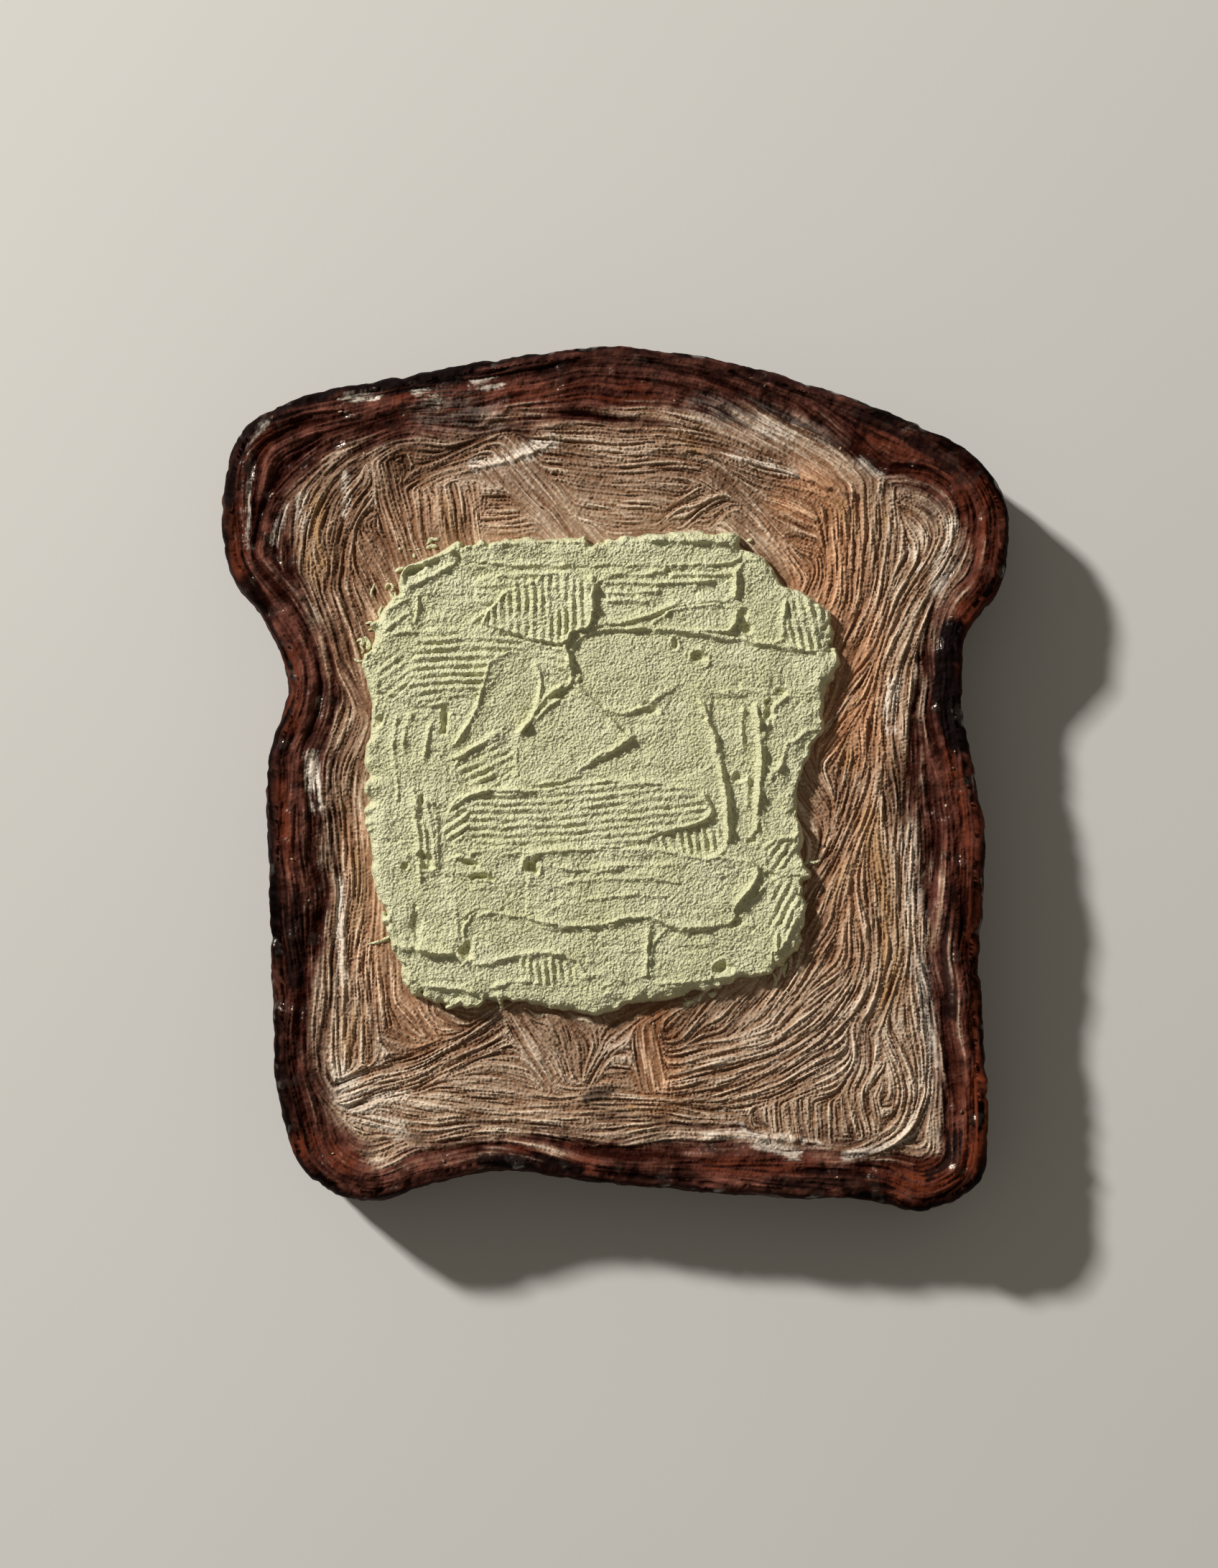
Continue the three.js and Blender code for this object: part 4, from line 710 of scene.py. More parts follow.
def face_relief(x, y):
    """Height of the toasted face above the level crumb, and what colours it."""
    inset, width, butter = (on_grid(grid, x, y) for grid in FACE_GRIDS)
    rough = on_grid(LIE[2], x, y)
    broad, strand, thread = (combed(x, y, *layer) for layer in (BROAD_LAYER, STRAND_LAYER, THREAD_LAYER))
    thread += 0.6 * grit(x, y, 0.18, 90)
    pores = smoothstep(1.1, 2.0, strand + 0.9 * lumps(x, y, 1.3, 78))
    crags = lumps(x, y, 1.5, 79) + 0.6 * lumps(x, y, 0.7, 80)
    ragged_inset = inset + 0.7 * strand + 0.9 * broad + 0.8 * lumps(x, y, 3, 81)
    crust = 1 - smoothstep(width - 0.8, width + 4.4, ragged_inset)
    rim = RIM_RISE * (1 - smoothstep(width * 0.5, width + 0.5, inset))
    bare = smoothstep(0, 4, -butter)
    height = rim + bare * SWELL_HEIGHT * lumps(x, y, 7, 82) + DIMPLE_HEIGHT * bare * lumps(x, y, 2.6, 83)
    streaks = STRAND_HEIGHT * strand * (1 - 0.4 * crust) + THREAD_HEIGHT * thread * (1 - 0.7 * crust)
    streaks += BROAD_HEIGHT * broad * (1 + 1.8 * crust)
    height += rough * streaks * (0.4 + 0.6 * bare)
    height -= PORE_DEPTH * pores * (1 - 0.6 * crust) * rough
    height += GRIT_HEIGHT * grit(x, y, 0.24, 65)
    height += crust * (CRAG_HEIGHT * crags + CRAG_HEIGHT * lumps(x, y, 4, 84))  # the second is broader
    for rise, half_width, points in WELTS:
        line = drawn_line(points)
        pick = near_box(line, 3 * half_width, x, y)
        px, py = x[pick], y[pick]
        distance = along(line, px + 0.2 * lumps(px, py, 1.5, 87), py + 0.2 * lumps(px, py, 1.3, 88))[0]
        height[pick] += rise * np.exp(-((distance / half_width) ** 2)) * (0.7 + 0.5 * lumps(px, py, 1.2, 89))
    masks = tint_masks(x, y, strand)
    masks["crust"] = crust
    masks["edge"] = 1 - smoothstep(0.7, 3.6, inset + 0.5 * strand + 1.2 * lumps(x, y, 5, 85))
    masks.update(broad=broad, strand=strand, thread=thread, glaze=np.ones(x.shape))
    return height, masks


def tint_masks(x, y, strand):
    """How strongly each tint colours these places; the strands fray its border."""
    masks = {name: np.zeros(x.shape) for name in TINTS}
    for name, strokes in TINTS.items():
        for strength, half_width, soft, points in strokes:
            line = drawn_line(points)
            pick = near_box(line, half_width + soft + 1, x, y)
            px, py = x[pick], y[pick]
            distance = np.abs(along(line, px, py)[0]) + 0.28 * strand[pick] + 0.3 * lumps(px, py, 1.3, 86)
            share = strength * (1 - smoothstep(half_width - soft * 0.5, half_width + soft, distance))
            masks[name][pick] = np.maximum(masks[name][pick], share)
    return masks


LIE = lie_grid()
field_inset, _, field_width = edge_field(*FIELD)
FACE_GRIDS = [field_inset, field_width, inside_distance(butter_line, *FIELD)]


# ---- Meshes ----

def boundary_loops(triangles):
    """Closed loops of the sheet's border, in the direction of its triangles."""
    edges = np.vstack([triangles[:, [0, 1]], triangles[:, [1, 2]], triangles[:, [2, 0]]])
    base = edges.max() + 1
    keys, opposite = edges[:, 0] * base + edges[:, 1], edges[:, 1] * base + edges[:, 0]
    follow = {int(a): int(b) for a, b in edges[~np.isin(keys, opposite)]}
    loops = []
    while follow:
        start, place = follow.popitem()
        loop = [start]
        while place != start:
            loop.append(place)
            place = follow.pop(place)
        loops.append(loop)
    return sorted(loops, key=len, reverse=True)


def own_points(triangles):
    """The points that these triangles use, and the triangles counted among those points."""
    used, triangles = np.unique(triangles, return_inverse=True)
    return used, triangles.reshape(-1, 3)


def clipped_sheet(low, high, step, field):
    """A fine flat sheet of triangles that ends where the field falls to nought."""
    xs, ys = np.arange(low[0], high[0], step), np.arange(low[1], high[1], step)
    x, y = (a.ravel() for a in np.meshgrid(xs, ys))
    value = field(x, y)
    grid = value.reshape(len(ys), len(xs))
    slope_y, slope_x = np.gradient(grid, step)
    steep = np.maximum(slope_x**2 + slope_y**2, 0.25).ravel()
    close = np.abs(value) < 0.3 * step
    x = np.where(close, x - value * slope_x.ravel() / steep, x)
    y = np.where(close, y - value * slope_y.ravel() / steep, y)
    value = np.where(close, 0, value)
    corner = (np.arange(len(ys) - 1)[:, None] * len(xs) + np.arange(len(xs) - 1)).ravel()
    a, b, c, d = corner, corner + 1, corner + len(xs) + 1, corner + len(xs)
    even = ((corner // len(xs) + corner % len(xs)) % 2 == 0)[:, None]
    first = np.where(even, np.stack([a, b, c], axis=1), np.stack([a, b, d], axis=1))
    second = np.where(even, np.stack([a, c, d], axis=1), np.stack([b, c, d], axis=1))
    triangles = np.vstack([first, second])
    plus, minus = (value > 0)[triangles], (value < 0)[triangles]
    more, less = plus.sum(axis=1), minus.sum(axis=1)
    kept = [triangles[(less == 0) & (more > 0)]]
    cuts = []

    def turned(mask, flags):
        """The chosen triangles, turned so that the flagged corner comes first."""
        chosen, first_flag = triangles[mask], flags[mask].argmax(axis=1)
        order = (first_flag[:, None] + np.arange(3)) % 3
        return np.take_along_axis(chosen, order, axis=1)

    def cut(p, q):
        """Stands for the point where an edge crosses the border."""
        cuts.append(np.stack([np.minimum(p, q), np.maximum(p, q)], axis=1))
        return len(cuts) - 1

    pending = []
    out, p, q = turned((more == 2) & (less == 1), minus).T
    pending += [((p, q, None), (None, None, cut(q, out)))]
    pending += [((p, None, None), (None, cut(q, out), cut(p, out)))]
    only, p, q = turned((more == 1) & (less == 2), plus).T
    pending += [((only, None, None), (None, cut(only, p), cut(only, q)))]
    on_border, p, q = turned((more == 1) & (less == 1), ~(plus | minus)).T
    forward = value[p] > 0
    pending += [((on_border[forward], p[forward], None), (None, None, cut(p[forward], q[forward])))]
    pending += [((on_border[~forward], None, q[~forward]), (None, cut(p[~forward], q[~forward]), None))]
    sizes = [len(group) for group in cuts]
    edges, index = np.unique(np.vstack(cuts), axis=0, return_inverse=True)
    index = index.ravel()
    starts = np.concatenate([[0], np.cumsum(sizes)])
    share = value[edges[:, 0]] / (value[edges[:, 0]] - value[edges[:, 1]])
    cut_x = x[edges[:, 0]] + share * (x[edges[:, 1]] - x[edges[:, 0]])
    cut_y = y[edges[:, 0]] + share * (y[edges[:, 1]] - y[edges[:, 0]])
    for known, crossed in pending:
        columns = [
            known[k] if known[k] is not None else index[starts[crossed[k]]:starts[crossed[k] + 1]] + len(x)
            for k in range(3)
        ]
        kept.append(np.stack(columns, axis=1))
    used, triangles = own_points(np.vstack(kept))
    return np.concatenate([x, cut_x])[used], np.concatenate([y, cut_y])[used], triangles


def ring_strip(low, high):
    """Triangles between two rings of indices; the upper may have half as many."""
    low, high = np.asarray(low), np.asarray(high)
    if len(low) == len(high):
        low_next, high_next = np.roll(low, -1), np.roll(high, -1)
        return np.vstack([
            np.stack([low, low_next, high_next], axis=1),
            np.stack([low, high_next, high], axis=1),
        ])
    even, odd, after = low[::2], low[1::2], np.roll(low[::2], -1)
    high_next = np.roll(high, -1)
    return np.vstack([
        np.stack([even, odd, high], axis=1),
        np.stack([odd, high_next, high], axis=1),
        np.stack([odd, after, high_next], axis=1),
    ])


def filled(points, loop):
    """Triangles that close a flat loop, wound as the loop is."""
    flat = [Vector((points[i][0], points[i][1], 0)) for i in loop]
    corners = np.array([[loop[k] for k in t] for t in tessellate_polygon([flat])])
    a, b, c = (np.asarray(points)[corners[:, k], :2] for k in range(3))
    turn = (b - a)[:, 0] * (c - a)[:, 1] - (b - a)[:, 1] * (c - a)[:, 0]
    ring = np.asarray(points)[loop, :2]
    area = np.sum(ring[:, 0] * np.roll(ring[:, 1], -1) - ring[:, 1] * np.roll(ring[:, 0], -1))
    wrong = turn * area < 0
    corners[wrong] = corners[wrong][:, ::-1]
    return corners


def whole_part(triangles, count):
    """The largest joined part of a sheet, without the specks that lie beside it."""
    label = np.arange(count)
    while True:
        lowest = label[triangles].min(axis=1)
        before = label.copy()
        for k in range(3):
            np.minimum.at(label, triangles[:, k], lowest)
        label = label[label]
        if np.array_equal(before, label):
            break
    names, counts = np.unique(label[triangles[:, 0]], return_counts=True)
    return triangles[label[triangles[:, 0]] == names[counts.argmax()]]


def sheet_normals(points, triangles):
    """Smooth normals of the points of a sheet."""
    a, b, c = (points[triangles[:, k]] for k in range(3))
    faces = np.cross(b - a, c - a)
    normals = np.stack([
        sum(np.bincount(triangles[:, k], faces[:, axis], len(points)) for k in range(3)) for axis in range(3)
    ], axis=1)
    return normals / np.maximum(np.linalg.norm(normals, axis=1), 1e-12)[:, None]


def smooth_top(piece, normals):
    """Gives the first points of a piece the normals of the whole sheet, so that cuts don't show."""
    shading = np.zeros(3 * len(piece.data.vertices))
    piece.data.vertex_normals.foreach_get("vector", shading)
    shading = shading.reshape(-1, 3)
    shading[:len(normals)] = normals
    piece.data.normals_split_custom_set_from_vertices(shading)


def make_piece(name, points, triangles, material, attributes):
    """A closed mesh in the row frame from points in the drawing frame, riding on the slice."""
    placed = (np.asarray(points, float) - [SHIFT[0], SHIFT[1], 0]) * MM
    mesh = bpy.data.meshes.new(name)
    mesh.from_pydata(placed, [], np.asarray(triangles))
    for key, values in attributes.items():
        mesh.attributes.new(key, "FLOAT", "POINT").data.foreach_set("value", values.astype(np.float32))
    mesh.shade_smooth()
    mesh.materials.append(material)
    mesh.validate()
    piece = bpy.data.objects.new(name, mesh)
    bpy.context.scene.collection.objects.link(piece)
    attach(piece, "root")
    return piece


# ---- Materials ----

CRUMB_BROWN, CRUMB_TAN = (0.352, 0.221, 0.139), (0.525, 0.373, 0.256)
CRUMB_PATCH = (0.315, 0.185, 0.110)
# Painted shade in the grooves between the crumb's threads, partly also the darker tone of its streaks.
GROOVE_SHADE_AND_STREAK = (0.68, 0.56, 0.47)
# Painted highlight along the crests of the crumb's strands and threads.
CREST_PAINTED_HIGHLIGHT = (0.82, 0.66, 0.50)
UMBER_TINT, WARM_TINT = (0.42, 0.32, 0.28), (1.10, 0.80, 0.60)
# The first of these colours serves both the crumb's pale streaks and painted glints on the crust.
PALE_AND_GLINT, OCHRE, RUSSET = (0.85, 0.74, 0.61), (0.45, 0.26, 0.12), (0.160, 0.034, 0.014)
CRUST_DARK, CRUST_MAROON = (0.030, 0.0060, 0.0032), (0.215, 0.078, 0.053)
CRUST_CHAR = (0.012, 0.0020, 0.0012)
EDGE_BLACK, EDGE_BROWN = (0.0016, 0.0004, 0.0003), (0.036, 0.010, 0.007)
SCORCH_BLACK = (0.006, 0.003, 0.003)
BUTTER_YELLOW, BUTTER_PALE = (0.690, 0.672, 0.402), (0.758, 0.744, 0.488)
# The first of these is painted shade, laid in the hollows of the butter's grain.
BUTTER_HOLLOW_SHADE, BUTTER_OVER_TOAST = (0.520, 0.500, 0.270), (0.430, 0.370, 0.200)


def math_node(tree, operation, first, second):
    """A sum or product of two values, each a number or a socket."""
    node = tree.nodes.new("ShaderNodeMath")
    node.operation = operation
    for socket, value in zip(node.inputs, (first, second)):
        if isinstance(value, (int, float)):
            socket.default_value = value
        else:
            tree.links.new(value, socket)
    return node.outputs[0]


def times(tree, first, second):
    """The product of two values."""
    return math_node(tree, "MULTIPLY", first, second)


def mix_colour(tree, factor, first, second, blend="MIX"):
    """A blend of two colours; each value is a number, a colour or a socket."""
    node = tree.nodes.new("ShaderNodeMix")
    node.data_type = "RGBA"
    node.blend_type = blend
    for socket, value in ((node.inputs["Factor"], factor), (node.inputs[6], first), (node.inputs[7], second)):
        if isinstance(value, (int, float)):
            socket.default_value = value
        elif isinstance(value, tuple):
            socket.default_value = (*value, 1.0)
        else:
            tree.links.new(value, socket)
    return node.outputs[2]


def tinted(tree, colour, tint):
    """The colour seen through a tint."""
    return mix_colour(tree, 1.0, colour, tint, "MULTIPLY")


def noise_node(tree, vector, scale, detail=3.0, roughness=0.55, distortion=0.0):
    """Cloudy values from 0 to 1, `scale` of them to the metre."""
    node = tree.nodes.new("ShaderNodeTexNoise")
    values = (("Scale", scale), ("Detail", detail), ("Roughness", roughness), ("Distortion", distortion))
    for label, value in values:
        node.inputs[label].default_value = value
    tree.links.new(vector, node.inputs["Vector"])
    return node.outputs["Fac"]


def ranged(tree, value, low, high, new_low=0.0, new_high=1.0):
    """A value moved from one range to another, and held within it."""
    node = tree.nodes.new("ShaderNodeMapRange")
    for label, number in (("From Min", low), ("From Max", high), ("To Min", new_low), ("To Max", new_high)):
        node.inputs[label].default_value = number
    tree.links.new(value, node.inputs["Value"])
    return node.outputs["Result"]


def read_attribute(tree, name):
    """A value that the mesh holds at its points."""
    node = tree.nodes.new("ShaderNodeAttribute")
    node.attribute_name = name
    return node.outputs["Fac"]


def speckle_group():
    """Fine, even grain that butter, crumb and crust all have, each at its own scale."""
    group = bpy.data.node_groups.new("surface speckle", "ShaderNodeTree")
    add_socket = group.interface.new_socket
    add_socket("Position", in_out="INPUT", socket_type="NodeSocketVector")
    for label, value in (("Scale", 3000.0), ("Coarse Share", 0.5)):
        add_socket(label, in_out="INPUT", socket_type="NodeSocketFloat").default_value = value
    for label in ("Height", "Dots"):
        add_socket(label, in_out="OUTPUT", socket_type="NodeSocketFloat")
    given, result = group.nodes.new("NodeGroupInput"), group.nodes.new("NodeGroupOutput")
    fine = group.nodes.new("ShaderNodeTexNoise")
    coarse = group.nodes.new("ShaderNodeTexNoise")
    for node in (fine, coarse):
        node.inputs["Detail"].default_value = 1.0
        node.inputs["Roughness"].default_value = 0.4
    coarser = times(group, given.outputs["Scale"], 0.36)
    for node, scale in ((fine, given.outputs["Scale"]), (coarse, coarser)):
        group.links.new(given.outputs["Position"], node.inputs["Vector"])
        group.links.new(scale, node.inputs["Scale"])
    blended = group.nodes.new("ShaderNodeMix")
    group.links.new(given.outputs["Coarse Share"], blended.inputs["Factor"])
    group.links.new(fine.outputs["Fac"], blended.inputs[2])
    group.links.new(coarse.outputs["Fac"], blended.inputs[3])
    group.links.new(blended.outputs[0], result.inputs["Height"])
    group.links.new(ranged(group, fine.outputs["Fac"], 0.6, 0.72), result.inputs["Dots"])
    return group


def placed_group(tree, group, position, **values):
    """A copy of a node group in the tree, with its values set by name."""
    node = tree.nodes.new("ShaderNodeGroup")
    node.node_tree = group
    tree.links.new(position, node.inputs["Position"])
    for label, value in values.items():
        node.inputs[label.replace("_", " ")].default_value = value
    return node


def started_material(name):
    """A new material with its tree, its shader and the place on the piece."""
    material = bpy.data.materials.new(name)
    material.use_nodes = True
    tree = material.node_tree
    shader = tree.nodes["Principled BSDF"]
    position = tree.nodes.new("ShaderNodeTexCoord").outputs["Object"]
    return material, tree, shader, position


def bumped(tree, shader, height, depth):
    """Turns the shader's normal by a height from 0 to 1 that stands for a depth in metres."""
    node = tree.nodes.new("ShaderNodeBump")
    node.inputs["Strength"].default_value = 1.0
    node.inputs["Distance"].default_value = depth
    tree.links.new(height, node.inputs["Height"])
    tree.links.new(node.outputs["Normal"], shader.inputs["Normal"])


def bread_material(speckle):
    """Toasted crumb that darkens into crust, streaked along its lie, with painted shade in its grooves,
    painted highlights on its crests, and painted glints among its pale strokes on the crust.
    """
    material, tree, shader, position = started_material("toasted bread")
    broad, ridges, threads = (
        ranged(tree, read_attribute(tree, name), -3.0, 3.0) for name in ("broad", "strand", "thread")
    )
    crests = math_node(tree, "ADD", times(tree, ridges, 0.4), times(tree, threads, 0.6))
    grains = placed_group(tree, speckle, position, Scale=1500.0, Coarse_Share=0.5)

    patches = noise_node(tree, position, 90.0, 2.0)
    crumb = mix_colour(tree, ranged(tree, broad, 0.35, 0.65), CRUMB_BROWN, CRUMB_TAN)
    crumb = mix_colour(tree, ranged(tree, patches, 0.35, 0.65, 0.0, 0.4), crumb, CRUMB_PATCH)
    # Painted shade: the low threads, which are the grooves, are darkened; partly this is also the tone of the
    # streaks.
    crumb = mix_colour(tree, ranged(tree, threads, 0.28, 0.50), tinted(tree, crumb, GROOVE_SHADE_AND_STREAK), crumb)
    # Painted highlight: the crests are lightened towards cream.
    crumb = mix_colour(tree, ranged(tree, crests, 0.55, 0.76, 0.0, 0.9), crumb, CREST_PAINTED_HIGHLIGHT)
    warm = times(tree, read_attribute(tree, "warm"), ranged(tree, broad, 0.3, 0.6, 0.5, 1.0))
    umber = times(tree, read_attribute(tree, "umber"), ranged(tree, ridges, 0.3, 0.7, 1.0, 0.6))
    ochre = times(tree, read_attribute(tree, "ochre"), ranged(tree, ridges, 0.3, 0.55))
    crumb = mix_colour(tree, umber, crumb, tinted(tree, crumb, UMBER_TINT))
    crumb = mix_colour(tree, warm, crumb, tinted(tree, crumb, WARM_TINT))
    crumb = mix_colour(tree, ochre, crumb, OCHRE)

    scorched = noise_node(tree, position, 330.0, 3.0, 0.6, 0.6)
    sweeps = math_node(tree, "ADD", times(tree, broad, 0.55), times(tree, crests, 0.45))
    maroon = mix_colour(tree, ranged(tree, sweeps, 0.36, 0.70), CRUST_DARK, CRUST_MAROON)
    glaze = read_attribute(tree, "glaze")
    charred = times(tree, ranged(tree, scorched, 0.42, 0.66, 0.0, 0.8), glaze)
    maroon = mix_colour(tree, charred, maroon, CRUST_CHAR)
    black = mix_colour(tree, ranged(tree, sweeps, 0.48, 0.76), EDGE_BLACK, EDGE_BROWN)
    crust = mix_colour(tree, read_attribute(tree, "edge"), maroon, black)
    russet = times(tree, read_attribute(tree, "russet"), ranged(tree, ridges, 0.3, 0.6))
    crust = mix_colour(tree, russet, crust, RUSSET)
    colour = mix_colour(tree, read_attribute(tree, "crust"), crumb, crust)
    colour = mix_colour(tree, read_attribute(tree, "scorch"), colour, SCORCH_BLACK)
    # Pale streaks, and painted glints on the crust, laid along the crests of the threads.
    pale_and_glint = times(tree, read_attribute(tree, "pale_and_glint"), ranged(tree, threads, 0.30, 0.58, 0.1, 1.0))
    colour = mix_colour(tree, pale_and_glint, colour, PALE_AND_GLINT)
    dots = times(tree, grains.outputs["Dots"], 0.35)
    colour = mix_colour(tree, dots, colour, tinted(tree, colour, (1.7, 1.7, 1.7)))
    tree.links.new(colour, shader.inputs["Base Color"])
    shiny = ranged(tree, noise_node(tree, position, 300.0, 2.0), 0.56, 0.68, 0.05, 1.0)
    gloss = times(tree, times(tree, read_attribute(tree, "crust"), glaze), shiny)
    tree.links.new(ranged(tree, gloss, 0.0, 1.0, 0.64, 0.22), shader.inputs["Roughness"])
    tree.links.new(ranged(tree, gloss, 0.3, 1.0, 0.03, 0.80), shader.inputs["Specular IOR Level"])
    shader.inputs["Specular Tint"].default_value = (1.0, 0.86, 0.74, 1.0)
    bumped(tree, shader, grains.outputs["Height"], 0.00016)
    return material


def butter_material(speckle):
    """Pale, matt, cold butter with a sandy surface, painted darker in the hollows of its grain as shade."""
    material, tree, shader, position = started_material("cold butter")
    grains = placed_group(tree, speckle, position, Scale=3200.0, Coarse_Share=0.0)
    clouds = noise_node(tree, position, 130.0, 3.0)
    colour = mix_colour(tree, ranged(tree, clouds, 0.35, 0.65), BUTTER_YELLOW, BUTTER_PALE)
    # Painted shade: the low places of the grain are coloured darker.
    shaded_hollows = ranged(tree, grains.outputs["Height"], 0.35, 0.60, 0.25, 0.0)
    colour = mix_colour(tree, shaded_hollows, colour, BUTTER_HOLLOW_SHADE)
    thin = ranged(tree, read_attribute(tree, "depth"), 0.15, 0.9, 0.45, 0.0)
    colour = mix_colour(tree, thin, colour, BUTTER_OVER_TOAST)
    tree.links.new(colour, shader.inputs["Base Color"])
    tree.links.new(ranged(tree, grains.outputs["Height"], 0.3, 0.7, 0.62, 0.5), shader.inputs["Roughness"])
    shader.inputs["Specular IOR Level"].default_value = 0.35
    shader.inputs["Subsurface Weight"].default_value = 0.03
    shader.inputs["Subsurface Radius"].default_value = (1.0, 0.8, 0.4)
    shader.inputs["Subsurface Scale"].default_value = 0.0008
    bumped(tree, shader, grains.outputs["Height"], 0.00036)
    return material


speckle = speckle_group()
bread = bread_material(speckle)
butter = butter_material(speckle)


# ---- The crust piece ----

def side_rings():
    """The side of the slice from its lower face up: shift in from the widest line, and height share."""
    turn = np.linspace(-1, 1, SIDE_RINGS)
    share = 0.5 + 0.5 * np.sign(turn) * (1 - (1 - np.abs(turn)) ** 1.45)
    rounding = 2 * EDGE_ROUND / THICKNESS
    reach = np.clip((np.abs(2 * share - 1) - (1 - rounding)) / rounding, 0, 1)
    shift = SIDE_BULGE * (2 * share - 1) ** 2 + EDGE_ROUND * (1 - np.sqrt(1 - reach**2 * 0.9999))
    return shift, share


def crust_piece():
    """Side, underside and the outer band of the toasted face: a tray that holds the crumb."""
    run = np.arange(COLUMNS) * outline_length / COLUMNS
    brim = EDGE_ROUND + SIDE_BULGE
    seam = SEAM + SIDE_BULGE
    points, triangles = [np.array([[0.0, 0.0, 0.1]])], []
    last = np.array([0])

    def line_inside(inward):
        """The outline, moved in by this much."""
        return outline_fine[:, :2] - inward * outwards

    def add_ring(xy, z):
        """Adds a ring of points, and the triangles between it and the ring before."""
        nonlocal last
        start = sum(len(p) for p in points)
        points.append(np.column_stack([xy, np.broadcast_to(z, len(xy))]))
        now = np.arange(start, start + len(xy))
        if len(last) == 1:
            triangles.append(np.stack([np.roll(now, -1), now, np.full(len(now), last[0])], axis=1))
        elif len(last) == len(now):
            triangles.append(ring_strip(last, now))
        else:
            triangles.append(ring_strip(now, last)[:, ::-1])
        last = now

    def under_height(x, y):
        """Height of the underside above the table, with its pores."""
        wide_pores = smoothstep(0.35, 0.8, lumps(x, y, 1.7, 90)) * 0.5
        pores = wide_pores + smoothstep(0.4, 0.8, lumps(x, y, 0.9, 91)) * 0.25
        return 0.05 + pores + 0.05 * lumps(x, y, 3, 92)

    widest = line_inside(brim + 3.0)
    for scale in UNDER_SCALES[::-1]:
        xy = (widest[::4] if scale < 0.8 else widest[::2]) * scale
        add_ring(xy, under_height(*xy.T))
    for inward in [brim + 0.5 * k for k in (5, 4, 3, 2, 1)]:
        xy = line_inside(inward)
        add_ring(xy, under_height(*xy.T) * smoothstep(0, 3, inward - brim) + 0.02)
    notches = NOTCH_DEPTHS[0] * np.maximum(0, lumps(run, 0, 1.9, 61))
    notches += NOTCH_DEPTHS[1] * np.maximum(0, lumps(run, 0, 1.1, 62))
    for shift, share in zip(*side_rings()):
        level = share * THICKNESS
        wrinkle = lumps(run, level * 2.2, 2.4, 93) * 0.5 + lumps(run * 0.6, level * 1.6, 1.0, 94) * 0.3
        blister = smoothstep(0.5, 0.9, lumps(run, level * 1.5, 3.2, 95))
        ends = smoothstep(0, 0.12, min(share, 1 - share))
        skin = ends * (0.2 - 0.2 * wrinkle - 0.1 * blister)
        inward = SIDE_CLEARANCE + shift + skin + 0.06 * lumps(run, level * 3, 0.7, 96)
        inward += 0.25 * smoothstep(0.1, 0.8, lumps(run, level, 2.8, 98)) * smoothstep(0.55, 0.8, share)
        inward += notches * (0.8 + 0.4 * lumps(run, level, 2.0, 63))
        xy = line_inside(inward[:, None])
        top = face_relief(*xy.T)[0] if share > 0.7 else 0
        add_ring(xy, level + smoothstep(0.75, 1.0, share) * top + 0.02 * (1 - share))
    for inward in np.linspace(brim, seam, 5)[1:]:
        xy = line_inside(inward)
        add_ring(xy, THICKNESS + face_relief(*xy.T)[0])
    xy = line_inside(seam + 0.3)
    add_ring(xy, THICKNESS + (face_relief(*xy.T)[0] - 0.25))
    add_ring(xy, THICKNESS - SEAM_DEPTH)
    points = np.vstack(points)
    triangles.append(filled(points, list(last)))
    return points, np.vstack(triangles)


def crust_masks(points):
    """What colours the crust piece: the masks of the face, turned to crust down the side and underneath."""
    x, y, z = points.T
    masks = face_relief(x, y)[1]
    inset, run, _ = edge_field(x, y)
    lowness = 1 - smoothstep(THICKNESS * 0.86, THICKNESS, z)
    inner = smoothstep(2.2, 3.4, inset)
    side, under = lowness * (1 - inner), lowness * inner
    for name in TINTS:
        masks[name] = masks[name] * (1 - lowness)
    crust = masks["crust"] * (1 - under) + side + under * (1 - smoothstep(5, 8, inset))
    masks["crust"] = np.clip(crust, 0, 1)
    masks["edge"] = masks["edge"] * (1 - lowness) + side * (0.68 + 0.25 * lumps(run, z * 2, 6, 97))
    masks["edge"] = np.clip(masks["edge"], 0, 1)
    masks["glaze"] = 1 - 0.75 * lowness
    masks["warm"] += 0.7 * under * smoothstep(-0.6, 0.8, lumps(x, y, 14, 67))
    masks["umber"] += 0.35 * under
    pore = np.clip((z - 0.12) / 0.4, 0, 1) * under
    for name, size in (("broad", 1.6), ("strand", 0.8), ("thread", 0.5)):
        skin = 0.9 * lumps(run + x * 0.3, z * 1.4 + inset, size, 64)
        sole = 0.9 * lumps(x, y, size, 66) - 2.2 * pore
        masks[name] = masks[name] * (1 - lowness) + (skin * (1 - under) + sole * under) * lowness
    return masks


points, triangles = crust_piece()
crust_object = make_piece("toast_crust", points, triangles, bread, crust_masks(points))
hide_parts("toast")


# ---- The crumb pieces ----

def crumb_quarter(name, top, normals, triangles, masks):
    """A quarter of the toasted face inside the crust, as a slab that ends under the butter."""
    used, triangles = own_points(triangles)
    top, normals = top[used], normals[used]
    outer = np.array(boundary_loops(triangles)[0])
    wall = np.column_stack([top[outer, :2], np.full(len(outer), THICKNESS - SEAM_DEPTH + SEAM_GAP)])
    points = np.vstack([top, wall])
    lower = np.arange(len(top), len(points))
    parts = [triangles, ring_strip(lower, outer), filled(points, list(lower))[:, ::-1]]
    values = {key: np.concatenate([mask[used], mask[used][outer]]) for key, mask in masks.items()}
    piece = make_piece(name, points, np.vstack(parts), bread, values)
    smooth_top(piece, normals)
    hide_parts("toast")


